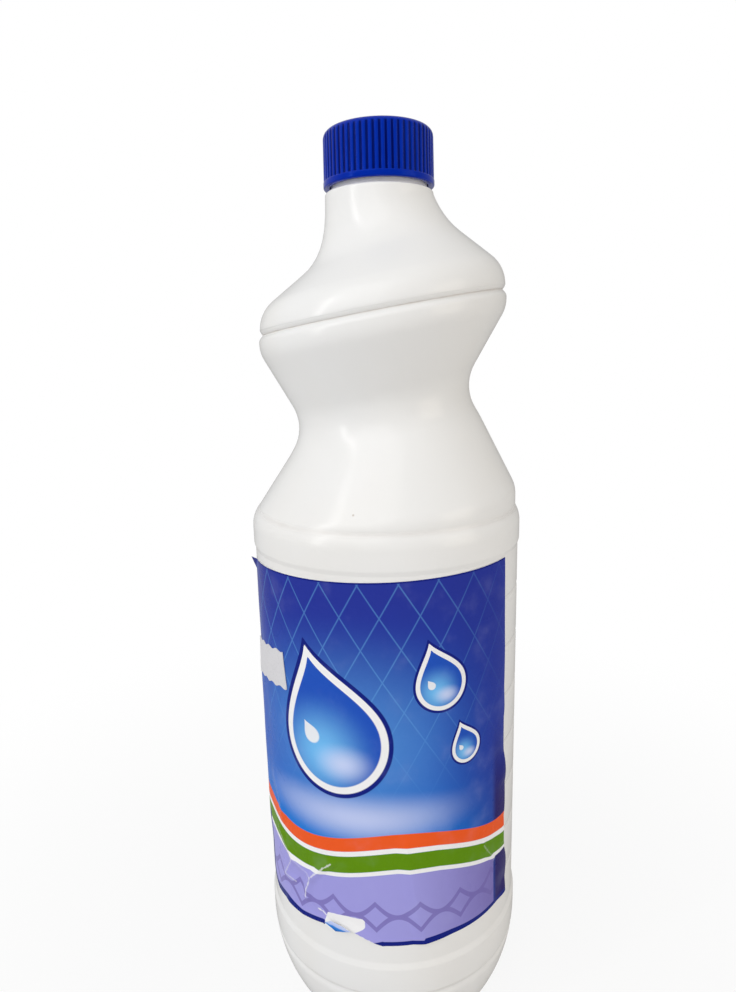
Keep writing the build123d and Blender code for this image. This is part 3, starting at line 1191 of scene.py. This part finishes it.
def print_waves(finish, look, ground):
    """Orange, white and green waves, and the lilac field with its row of diamonds under them, the field
    darker towards the right by painted shade.
    """
    along, up = finish.along, finish.up
    swell = up - (along * SWELL[0] + SWELL[1]).wave() * SWELL[2]
    swell = swell + (along * LONG_SWELL[0]).wave() * LONG_SWELL[1]
    for low, high, colour in WAVES:
        ground = finish.mix(ground, getattr(look, colour), swell.between(low, high, WAVE_EDGE))
    field = swell.step(FIELD_TOP + 0.1, FIELD_TOP - 0.1)
    field = field * along.step(FIELD_RIGHT + INK_EDGE, FIELD_RIGHT - INK_EDGE)
    # Painted shade: the lilac field darkens to violet towards the right
    lilac = finish.mix(look.lilac, look.violet, along.step(*FIELD_SHADE))
    ground = finish.mix(ground, lilac, field)
    diamond = abs((along * (pi / DIAMOND_PITCH)).wave()) * 0.5 + abs(up - DIAMOND_LEVEL) / DIAMOND_HEIGHT
    outer = diamond.step(DIAMOND_OUTER, DIAMOND_OUTER - DIAMOND_EDGE)
    inner = diamond.step(DIAMOND_INNER, DIAMOND_INNER - DIAMOND_EDGE)
    return finish.mix(ground, look.violet, (outer - inner) * field * 0.7)


def print_border(finish, look, ground):
    """Navy border round the field, wider at the left and past the bend, and a navy top line and corner."""
    along, up = finish.along, finish.up
    kept = along.step(BORDER_LOST[0] + INK_EDGE, BORDER_LOST[0] - INK_EDGE)
    kept = kept.most(((along - BORDER_LOST[1]) / BORDER_TAPER).most(0.0).least(1.0))
    bend = FILM_BEND[0][1]
    past_bend = along.step(bend - 0.2, bend + 0.2) * along.step(BORDER_BENT_END, bend)
    wider = past_bend * BORDER_BENT + along.step(*BORDER_WIDER_FADE) * BORDER_WIDER
    edge = finish.attribute("edge") - wider + kept.less() * (BORDER_WIDTH + 0.3)
    border = edge.step(BORDER_WIDTH + 0.1, BORDER_WIDTH - 0.1) * up.step(*BORDER_TOP_FADE)
    ground = finish.mix(ground, look.navy, border)
    from_top = up * -1.0 + LABEL_TOP
    flap = (along - LABEL_LEFT) / CORNER_FOLD[0] + from_top / CORNER_FOLD[1]
    ground = finish.mix(ground, look.navy, flap.step(1.0, 0.85))
    return finish.mix(ground, look.navy, from_top.step(*TOP_LINE))


def label_print(look):
    """Semi-gloss print of drops over coloured waves, with a navy border, creases and a torn patch."""
    finish = Print("Label print", 0.3, IOR=1.5, Specular_IOR_Level=0.03)
    ground = label_ground(finish, look)
    dusk = finish.along.step(FIELD_RIGHT - 1.0, FIELD_RIGHT + 2.0) * finish.up.step(*DUSK_FADE)
    ground = finish.mix(ground, look.dusk, dusk)
    for place, size in DROPS:
        ground = print_drop(finish, look, ground, place, size)
    ground = print_waves(finish, look, ground)
    ground = print_border(finish, look, ground)
    speck = finish.noise(1.1, 4.0)
    # White lines along the creases: print worn off, and a painted highlight on the ridges
    for points, _, _, wear_and_highlight in CREASES:
        if wear_and_highlight:
            line = (finish.crease(points) - (speck - 0.5) * 0.9).step(0.34, 0.10)
            ground = finish.mix(ground, look.white, line * (0.6 * wear_and_highlight))
    ground = finish.mix(ground, look.white, (finish.attribute("wear") * speck).step(0.34, 0.52))
    torn = (finish.attribute("patch") + (speck - 0.5) * 0.5).step(-0.05, 0.08)
    ground = finish.mix(ground, look.white, torn)
    dust = finish.noise(9.0, 4.0)
    ground = finish.mix(ground, look.pale, dust.step(0.5, 0.9) * 0.08)
    finish.colour(ground)
    finish.roughness(dust * 0.16 + 0.20 + torn * 0.25)
    finish.bumps(dust * 3.0, 0.02)
    return finish.material


def bare_film(look):
    """Back of the film, its cut edge and the patch with no print."""
    finish = Finish("Bare film", 0.5, Specular_IOR_Level=0.4)
    fibre = finish.noise(0.8, 4.0)
    finish.colour(finish.mix(look.white, [0.85 * c for c in look.white], fibre.step(0.4, 0.8)))
    finish.bumps(fibre, 0.02)
    return finish.material


def folded_print(look):
    """Print on the bit of film that is folded over, with a painted highlight at the fold and deep blue at its
    end.
    """
    finish = Print("Folded print", 0.3, Specular_IOR_Level=0.2)
    cloud = finish.noise(2.5, 3.0)
    fall = finish.up + finish.along * FOLD_SLOPE + cloud * 0.5
    # Painted highlight along the fold
    blue = finish.mix(look.bright, look.pale, fall.step(*FOLD_HIGHLIGHT) * 0.75)
    blue = finish.mix(blue, look.navy, fall.step(*FOLD_DEEP) * 0.6)
    finish.colour(blue)
    finish.bumps(cloud, 0.03)
    return finish.material


def sticker_paper(look):
    """Matt coated paper with faint fibres and a grey smudge or two."""
    finish = Finish("Sticker paper", 0.55, Specular_IOR_Level=0.35)
    fibre = finish.noise(0.6, 5.0)
    smudge = finish.noise(6.0, 3.0)
    paper = finish.mix(look.paper, [0.86 * c for c in look.paper], fibre.step(0.45, 0.85))
    finish.colour(finish.mix(paper, [0.72 * c for c in look.paper], smudge.step(0.58, 0.85) * 0.6))
    finish.bumps(fibre, 0.015)
    return finish.material


# Label and sticker


def along_line(points, place, ease=float):
    """Value at a place on a line of (place, value) points, straight or eased from point to point."""
    for (start, low), (end, high) in zip(points, points[1:]):
        if place <= end:
            return low + (high - low) * ease((place - start) / (end - start))
    return points[-1][1]


def to_segments(place, points):
    """Distance of a place from a line of points."""
    nearest = 1e9
    for start, end in zip(points, points[1:]):
        run = Vector(end) - Vector(start)
        share = min(1.0, max(0.0, (Vector(place) - Vector(start)).dot(run) / run.length_squared))
        nearest = min(nearest, (Vector(start) + run * share - Vector(place)).length)
    return nearest


def inside_outline(place, outline):
    """True where a place lies inside a closed outline."""
    x, y = place
    crossings = 0
    for (x0, y0), (x1, y1) in zip(outline, outline[1:] + outline[:1]):
        if (y0 > y) != (y1 > y) and x < x0 + (x1 - x0) * (y - y0) / (y1 - y0):
            crossings += 1
    return crossings % 2 == 1


def label_low(along):
    """Height of the label's bottom edge: torn in the middle, rounded at the left corner."""
    start = LABEL_LEFT + LABEL_CORNER
    if along < start:
        level = LABEL_BOTTOM + CORNER_LIFT + LABEL_CORNER
        return level - sqrt(max(0.0, LABEL_CORNER**2 - (along - start) ** 2))
    return LABEL_BOTTOM + along_line(TORN_EDGE, along)


def low_line():
    """Points of the label's left edge, rounded corner and bottom edge."""
    corner = Vector((LABEL_LEFT + LABEL_CORNER, LABEL_BOTTOM + CORNER_LIFT + LABEL_CORNER))
    points = [Vector((LABEL_LEFT, LABEL_TOP))] + arc(corner, LABEL_CORNER, pi, 1.5 * pi, LABEL_OUTLINE_STEPS)
    return points + [Vector((along, LABEL_BOTTOM + up)) for along, up in TORN_EDGE[1:]]


def film_lift(along, up):
    """How far the worn film stands off the bottle here."""
    lift = 0.0
    for points, height, half_width, _ in CREASES:
        share = to_segments((along, up), points) / half_width
        lift += height * max(0.0, 1 - share) * smooth(2 - 2 * share)
    from_bend = along - along_line(FILM_BEND, up)
    slope = 1 + from_bend / BEND_LEFT if from_bend < 0 else 1 - from_bend / BEND_RIGHT
    lift += BEND_HEIGHT * max(0.0, slope) * smooth((BEND_TOP - up) / BEND_FADE)
    from_left = along - LABEL_LEFT
    loose = smooth((up - LEFT_LOW) / LEFT_FADE) * smooth((LEFT_HIGH - up) / LEFT_FADE)
    lift += LEFT_LIFT * smooth(1 - from_left / LEFT_WIDTH) * loose
    corner = 1 - from_left / CORNER_FOLD[0] - (LABEL_TOP - up) / CORNER_FOLD[1]
    lift += CORNER_RISE * max(0.0, corner) ** CORNER_CURVE
    ruffle = max(0.0, sin(2 * pi * (up - RUFFLE_LOW) / RUFFLE_LENGTH))
    ruffle *= smooth((RUFFLE_HIGH - up) / RUFFLE_FADE)
    lift += RUFFLE_LIFT * smooth(1 - (LABEL_RIGHT - along) / RUFFLE_WIDTH) * ruffle
    torn = smooth((along - TEAR_LEFT) / TEAR_FADE) * smooth((TEAR_RIGHT - along) / TEAR_FADE)
    lift += TEAR_LIFT * torn * smooth(1 - (up - label_low(along)) / TEAR_HEIGHT)
    waves = [sin(across * along + high * up) for across, high in (RIPPLE_FIRST, RIPPLE_SECOND)]
    return lift + RIPPLE_HEIGHT + RIPPLE_HEIGHT * (waves[0] * waves[1])


def film_wear(along, up):
    """How much of the print has gone here, at the torn edge."""
    torn = smooth((along - WEAR_LEFT) / WEAR_FADE) * smooth((WEAR_RIGHT - along) / WEAR_FADE)
    return torn * smooth(1.0 - (up - label_low(along)) / WEAR_HEIGHT)


def patch_depth(along, up):
    """Distance inside the bare patch, or less than 0 outside it."""
    outline = BARE_PATCH + BARE_PATCH[:1]
    distance = to_segments((along, up), outline)
    return distance if inside_outline((along, up), BARE_PATCH) else -distance


def round_panel(around, level, radius):
    """Point on the bottle at this distance round and above the label's middle, at this radius."""
    turn = radians(LABEL_BEARING) + around / (label_radius() + FILM)
    return (radius * cos(turn) * MM, radius * sin(turn) * MM, (LABEL_MIDDLE + level) * MM)


def label_radius():
    """Radius of the film's back where it lies on the panel."""
    return bpy.context.scene.bottle_look.panel_radius / MM + GLUE_LINE


def turned(along, up, degrees):
    """Point of a flat sheet turned in its plane."""
    turn = radians(degrees)
    return along * cos(turn) - up * sin(turn), along * sin(turn) + up * cos(turn)


def spread(stops, longest):
    """Places from the first stop to the last that hit every stop and lie no further apart than this."""
    places = [stops[0]]
    for start, end in zip(stops, stops[1:]):
        steps = max(1, ceil((end - start) / longest))
        places += [start + (end - start) * step / steps for step in range(1, steps + 1)]
    return places


def film_mesh(name, columns, values):
    """Open grid mesh of columns of (point, print place) pairs, with named values at its points."""
    rows = len(columns[0])
    mesh = bpy.data.meshes.new(name)
    points = [point for column in columns for point, _ in column]
    faces = []
    for k in range(len(columns) - 1):
        here, there = k * rows, (k + 1) * rows
        faces += [(here + j, there + j, there + j + 1, here + j + 1) for j in range(rows - 1)]
    mesh.from_pydata(points, [], faces)
    places = [place for column in columns for _, place in column]
    layer = mesh.uv_layers.new(name="print")
    corners = [places[loop.vertex_index] for loop in mesh.loops]
    layer.data.foreach_set("uv", [0.5 + value / PRINT_SIDE for place in corners for value in place])
    for attribute, numbers in values.items():
        mesh.attributes.new(attribute, "FLOAT", "POINT").data.foreach_set("value", numbers)
    return mesh


def thickened(piece, thickness):
    """Gives a sheet its thickness outwards, with bare film on its back and edges."""
    solid = piece.modifiers.new("Thickness", "SOLIDIFY")
    solid.thickness = thickness * MM
    solid.offset = 1.0
    solid.material_offset = 1
    solid.material_offset_rim = 1
    settled(piece)


def label_film(look):
    """Worn label as a film with its creases, its lifted corner and its torn edge."""
    corner = LABEL_LEFT + LABEL_CORNER
    turns = [pi / 2 * step / LABEL_CORNER_STEPS for step in range(LABEL_CORNER_STEPS)]
    stops = [corner - LABEL_CORNER * cos(turn) for turn in turns]
    stops += [place for place, _ in TORN_EDGE]
    rows = ceil((LABEL_TOP - LABEL_BOTTOM) * MM / look.grid)
    outline = low_line()
    columns = []
    values = {"wear": [], "edge": [], "patch": []}
    for along in spread(stops, look.grid / MM):
        low = label_low(along)
        column = []
        for step in range(rows + 1):
            up = low + (LABEL_TOP - low) * step / rows
            worn = smooth((along - WORN_FROM) / (LABEL_RIGHT - WORN_FROM))
            drawn = along + along_line(WORN_EDGE, up, smooth) * worn
            around, level = turned(drawn, up, LABEL_TURN)
            column.append((round_panel(around, level, label_radius() + film_lift(along, up)), (drawn, up)))
            values["wear"].append(film_wear(along, up))
            values["edge"].append(to_segments((along, up), outline))
            values["patch"].append(patch_depth(along, up))
        columns.append(column)
    return film_mesh("front_label", columns, values)


def folded_bit():
    """Bit of torn film folded up over the bare patch."""
    middle = sum((Vector(place) for place in FOLDED_BIT), Vector((0, 0))) / len(FOLDED_BIT)
    columns = []
    outline = [Vector(place) for place in FOLDED_BIT]
    sides = zip(outline, outline[1:] + outline[:1])
    edge = [point for start, end in sides for point in (start, start.lerp(end, 0.5))]
    for place in edge + edge[:1]:
        column = []
        for step in range(FOLD_RINGS + 1):
            spot = middle.lerp(place, max(FOLD_CORE, step / FOLD_RINGS))
            around, level = turned(spot.x, spot.y, LABEL_TURN)
            rise = FOLD_LIFT + FOLD_RISE * smooth((spot.y - FOLD_LOW) / FOLD_HEIGHT)
            lift = film_lift(spot.x, max(spot.y, label_low(spot.x))) + FILM + rise
            column.append((round_panel(around, level, label_radius() + lift), (spot.x, spot.y)))
        columns.append(column)
    return film_mesh("label_fold", columns, {})


def sticker_sheet():
    """Small paper sticker with wavy cut edges, lying on the worn film."""
    columns = []
    across = STICKER_WAVE_STEPS * STICKER_WAVES
    half = STICKER_WIDTH / 2
    for step in range(across + 1):
        along = STICKER_WIDTH * (step / across - 0.5)
        ripple = STICKER_WAVE * sin(2 * pi * STICKER_WAVES * step / across)
        column = []
        for row in range(STICKER_ROWS + 1):
            up = STICKER_HEIGHT * (row / STICKER_ROWS - 0.5) + ripple
            local, level = turned(along, up, STICKER_TURN)
            around = STICKER_ALONG + local
            level = STICKER_UP + level
            on_label = turned(around, level, -LABEL_TURN)
            curl = LEFT_CURL[0] * smooth(1 - (along + half) / LEFT_CURL[1])
            curl += RIGHT_CURL[0] * smooth(1 - (half - along) / RIGHT_CURL[1])
            lift = film_lift(*on_label) + FILM + GLUE_LINE + curl
            column.append((round_panel(around, level, label_radius() + lift), on_label))
        columns.append(column)
    return film_mesh("price_sticker", columns, {})


# Screw cap


def cap_line(top, bottom, radius):
    """Half section of the cap: top plate, rounded edge, ribbed wall, band, rim and bore."""
    band_top = bottom + CAP_BAND
    band = radius + CAP_BAND_PROUD
    shoulder = radius - CAP_DRAFT
    wall_low = band_top + CAP_GROOVE_END
    wall_height = top - CAP_EDGE - band_top
    line = [Vector((reach, top)) for reach in CAP_PLATE_RINGS]
    line += arc((shoulder - CAP_EDGE, top - CAP_EDGE), CAP_EDGE, pi / 2, 0, CAP_EDGE_STEPS)
    line += [Vector((radius - CAP_DRAFT * share, wall_low + wall_height * share)) for share in CAP_WALL_RINGS]
    line.append(Vector((radius, band_top)))
    line.append(Vector((band - CAP_BAND_SOFT, band_top - CAP_BAND_PROUD)))
    line.append(Vector((band, band_top - CAP_BAND_EDGE)))
    return line + rounded(
        [
            (band, band_top - CAP_RIM_START),
            (band, bottom),
            (CAP_BORE, bottom),
            (CAP_BORE, top - CAP_PLATE),
            (0.0, top - CAP_PLATE),
        ],
        [CAP_BAND_ROUND, CAP_RIM_ROUND, CAP_BORE_ROUND],
        CAP_TURN_STEP,
    )


def rib_turns(look, radius):
    """Angles across one pitch of the cap, each with its share of the groove's depth."""
    pitch = 2 * pi / look.ribs
    half_groove = look.groove_width / MM / radius / 2
    turns = [(share * pitch, depth) for share, depth in RIB_CROWN]
    turns += [(share * half_groove, depth) for share, depth in RIB_FLANK]
    return turns + [(0.0, 1.0)] + [(-turn, depth) for turn, depth in reversed(turns)]


def cap_rib(look, top, bottom, radius):
    """One pitch of the cap, with a groove between two half ribs."""
    line = cap_line(top, bottom, radius)
    turns = rib_turns(look, radius)
    groove_low = bottom + CAP_BAND + CAP_GROOVE_CLEAR
    floor = radius - look.groove_depth / MM
    points = []
    marks = []
    for turn, depth in turns:
        for point in line:
            grooved = groove_low < point.y and point.x > floor
            cut = (point.x - floor) * depth if grooved else 0.0
            reach = point.x - cut
            points.append((reach * cos(turn) * MM, reach * sin(turn) * MM, point.y * MM))
            marks.append(depth if grooved else 0.0)
    rows = len(line)
    faces = []
    for k in range(len(turns) - 1):
        here, there = k * rows, (k + 1) * rows
        faces += [(here + j, here + j + 1, there + j + 1, there + j) for j in range(rows - 1)]
    mesh = bpy.data.meshes.new("cap_rib")
    mesh.from_pydata(points, [], faces)
    groove = mesh.attributes.new("groove", "FLOAT", "POINT")
    groove.data.foreach_set("value", marks)
    return placed("cap_rib", mesh)


class BOTTLE_OT_body(bpy.types.Operator):
    """Makes the blown bottle with its slanted waist, and the thread on its neck"""

    bl_idname = "bottle.body"
    bl_label = "Bottle"

    def execute(self, context):
        look = context.scene.bottle_look
        form = BottleForm(look)
        columns = [form.column(2 * pi * k / look.columns) for k in range(look.columns)]
        mesh = ring_mesh("blown_bottle", columns, form.soil())
        shaded(mesh, BOTTLE_SHARP)
        plastic = blown_plastic(look)
        mesh.materials.append(plastic)
        bottle = placed("blown_bottle", mesh)
        bottle.shadow_terminator_geometry_offset = LIGHT_EDGE_RAYS
        bottle.shadow_terminator_shading_offset = LIGHT_EDGE_SHADING
        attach(bottle, "bottle_body")
        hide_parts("bottle")
        thread = wound_thread(
            "neck_thread",
            wall=FINISH_RADIUS,
            ridge=NECK_THREAD_RIDGE,
            turns=NECK_THREAD_TURNS,
            start=NECK_THREAD_START,
            lag=0.0,
            plastic=plastic,
        )
        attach(thread, "bottle_body")
        return {"FINISHED"}


class BOTTLE_OT_cap(bpy.types.Operator):
    """Makes the ribbed screw cap with its inner thread, and finishes the sealing wad"""

    bl_idname = "bottle.cap"
    bl_label = "Screw cap"

    def execute(self, context):
        look = context.scene.cap_look
        low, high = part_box("screw_cap")
        plastic = moulded_plastic(look)
        rib = cap_rib(look, high.z / MM, low.z / MM, high.x / MM - CAP_BAND_PROUD)
        cap = ring_of_ribs().grow("ribbed_cap", {"Rib": rib, "Count": look.ribs, "Material": plastic})
        bpy.data.objects.remove(rib)
        shaded(cap.data, CAP_SHARP)
        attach(cap, "cap_body")
        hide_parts("screw_cap")
        thread = wound_thread(
            "cap_thread",
            wall=CAP_BORE,
            ridge=CAP_THREAD_RIDGE,
            turns=CAP_THREAD_TURNS,
            start=NECK_THREAD_START + (CAP_THREAD_LAG - CAP_THREAD_DROP) * THREAD_LEAD,
            lag=CAP_THREAD_LAG,
            plastic=plastic,
        )
        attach(thread, "cap_body")
        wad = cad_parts["cap_liner"]
        wad.data.materials.clear()
        wad.data.materials.append(sealing_foam(look))
        return {"FINISHED"}


class BOTTLE_OT_label(bpy.types.Operator):
    """Makes the worn front label with its creases, lifted corner and torn edge"""

    bl_idname = "bottle.label"
    bl_label = "Front label"

    def execute(self, context):
        look = context.scene.label_look
        film = bare_film(look)
        label = placed("printed_label", label_film(look))
        fold = placed("label_fold", folded_bit())
        for piece, face in ((label, label_print(look)), (fold, folded_print(look))):
            piece.data.materials.append(face)
            piece.data.materials.append(film)
            thickened(piece, FILM)
            shaded(piece.data, FILM_SHARP)
            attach(piece, "bottle_body")
        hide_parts("front_label")
        return {"FINISHED"}


class BOTTLE_OT_sticker(bpy.types.Operator):
    """Makes the small price sticker with its wavy cut edges"""

    bl_idname = "bottle.sticker"
    bl_label = "Price sticker"

    def execute(self, context):
        look = context.scene.label_look
        sticker = placed("blank_sticker", sticker_sheet())
        paper = sticker_paper(look)
        sticker.data.materials.append(paper)
        sticker.data.materials.append(paper)
        thickened(sticker, FILM)
        shaded(sticker.data, FILM_SHARP)
        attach(sticker, "bottle_body")
        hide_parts("price_sticker")
        return {"FINISHED"}


def seen_white(tree):
    """Share of white that a ray sees: all for the camera and through glass, some in a gloss."""
    path = tree.nodes.new("ShaderNodeLightPath")
    seen = Field(tree, path.outputs["Is Camera Ray"])
    for ray, share in (("Is Glossy Ray", GLOSSY_WHITE), ("Is Transmission Ray", 1.0)):
        seen = seen.most(Field(tree, path.outputs[ray]) * share)
    return seen


def soft_light(name, power, place, size, colour, gloss):
    """Area light that faces the bottle, with its share in the gloss, hidden from the camera."""
    lamp = bpy.data.lights.new(name, "AREA")
    lamp.shape = "RECTANGLE"
    lamp.size, lamp.size_y = size
    lamp.energy = power
    lamp.color = colour
    lamp.specular_factor = gloss
    light = placed(name, lamp)
    light.visible_camera = False
    facing = (Vector(LIGHT_TARGET) - Vector(place)).to_track_quat("-Z", "Y")
    light.matrix_world = Matrix.Translation(place) @ facing.to_matrix().to_4x4()


class BOTTLE_OT_stage(bpy.types.Operator):
    """Makes the pale floor, the soft lights and the camera"""

    bl_idname = "bottle.stage"
    bl_label = "Stage"

    def execute(self, context):
        look = context.scene.stage_look
        self.floor(look)
        self.world(context, look)
        soft_light("Key", look.key, *KEY_LIGHT)
        soft_light("Top", look.top, *TOP_LIGHT)
        soft_light("Fill", look.fill, *FILL_LIGHT)
        self.camera(context)
        context.scene.view_settings.view_transform = "Standard"
        return {"FINISHED"}

    def floor(self, look):
        """Large pale floor that keeps the soft shadow and is near white to the camera."""
        mesh = bpy.data.meshes.new("pale_floor")
        sides = ((-1, -1), (1, -1), (1, 1), (-1, 1))
        corners = [(x * FLOOR_HALF, y * FLOOR_HALF, FLOOR_LEVEL) for x, y in sides]
        mesh.from_pydata(corners, [], [(0, 1, 2, 3)])
        material = bpy.data.materials.new("Pale floor")
        material.use_nodes = True
        tree = material.node_tree
        shader = tree.nodes["Principled BSDF"]
        shader.inputs["Base Color"].default_value = (*look.floor, 1.0)
        shader.inputs["Roughness"].default_value = 0.9
        shader.inputs["Specular IOR Level"].default_value = 0.0
        light = tree.nodes.new("ShaderNodeEmission")
        mix = tree.nodes.new("ShaderNodeMixShader")
        place = tree.nodes.new("ShaderNodeTexCoord").outputs["Object"]
        length = tree.nodes.new("ShaderNodeVectorMath")
        length.operation = "LENGTH"
        tree.links.new(place, length.inputs[0])
        far = Field(tree, length.outputs["Value"]).step(*SHADOW_RING)
        white = seen_white(tree) * (far * SHADOW_KEPT + (1 - SHADOW_KEPT))
        tree.links.new(white.socket, mix.inputs[0])
        tree.links.new(shader.outputs[0], mix.inputs[1])
        tree.links.new(light.outputs[0], mix.inputs[2])
        tree.links.new(mix.outputs[0], tree.nodes["Material Output"].inputs["Surface"])
        mesh.materials.append(material)
        placed("pale_floor", mesh)

    def world(self, context, look):
        """Light of a white room, brighter at the upper left, which the camera sees as plain white."""
        world = bpy.data.worlds.new("White room")
        world.use_nodes = True
        tree = world.node_tree
        backdrop = tree.nodes["Background"]
        backdrop.inputs["Color"].default_value = (1.0, 1.0, 1.0, 1.0)
        facing = tree.nodes.new("ShaderNodeVectorMath")
        facing.operation = "DOT_PRODUCT"
        tree.links.new(tree.nodes.new("ShaderNodeTexCoord").outputs["Generated"], facing.inputs[0])
        facing.inputs[1].default_value = Vector(ROOM_SIDE).normalized()
        room = (Field(tree, facing.outputs["Value"]) * look.lean + 1.0) * look.sky
        seen = seen_white(tree)
        tree.links.new((room * seen.less() + seen).socket, backdrop.inputs["Strength"])
        context.scene.world = world

    def camera(self, context):
        """Camera of the photograph: close, a little above the bottle's middle, and slightly rolled."""
        pitch, yaw, roll = (radians(turn) for turn in (CAMERA_PITCH, CAMERA_YAW, CAMERA_ROLL))
        ahead = Vector((sin(yaw) * cos(pitch), cos(yaw) * cos(pitch), -sin(pitch)))
        right = Vector((cos(yaw), -sin(yaw), 0.0))
        up = right.cross(ahead)
        across = cos(roll) * right + sin(roll) * up
        upward = cos(roll) * up - sin(roll) * right
        turn = Matrix((across, upward, -ahead)).transposed()
        lens = bpy.data.cameras.new("Photo camera")
        lens.sensor_width = SENSOR
        lens.lens = FOCAL_PIXELS * SENSOR / PICTURE_HEIGHT
        lens.clip_start = CAMERA_NEAR
        camera = placed("photo_camera", lens)
        camera.matrix_world = Matrix.Translation(CAMERA_PLACE) @ turn.to_4x4()
        context.scene.camera = camera


class BOTTLE_PT_panel(bpy.types.Panel):
    """Lists the bottle's pieces and their sizes"""

    bl_idname = "BOTTLE_PT_panel"
    bl_label = "Bleach bottle"
    bl_space_type = "VIEW_3D"
    bl_region_type = "UI"
    bl_category = "Bottle"

    def draw(self, context):
        for operator in OPERATORS:
            self.layout.operator(operator.bl_idname)
        for name in GROUPS:
            group = getattr(context.scene, name)
            box = self.layout.box()
            for key in group.__annotations__:
                box.prop(group, key)


GROUPS = {
    "bottle_look": BottleLook,
    "cap_look": CapLook,
    "label_look": LabelLook,
    "stage_look": StageLook,
}
OPERATORS = [BOTTLE_OT_body, BOTTLE_OT_cap, BOTTLE_OT_label, BOTTLE_OT_sticker, BOTTLE_OT_stage]
CLASSES = [*GROUPS.values(), *OPERATORS, BOTTLE_PT_panel]


def register():
    for made in CLASSES:
        bpy.utils.register_class(made)
    for name, group in GROUPS.items():
        setattr(bpy.types.Scene, name, PointerProperty(type=group))


def unregister():
    for name in GROUPS:
        delattr(bpy.types.Scene, name)
    for made in reversed(CLASSES):
        bpy.utils.unregister_class(made)


def main():
    register()
    bpy.ops.bottle.body()
    bpy.ops.bottle.cap()
    bpy.ops.bottle.label()
    bpy.ops.bottle.sticker()
    bpy.ops.bottle.stage()


if __name__ == "__main__":
    main()
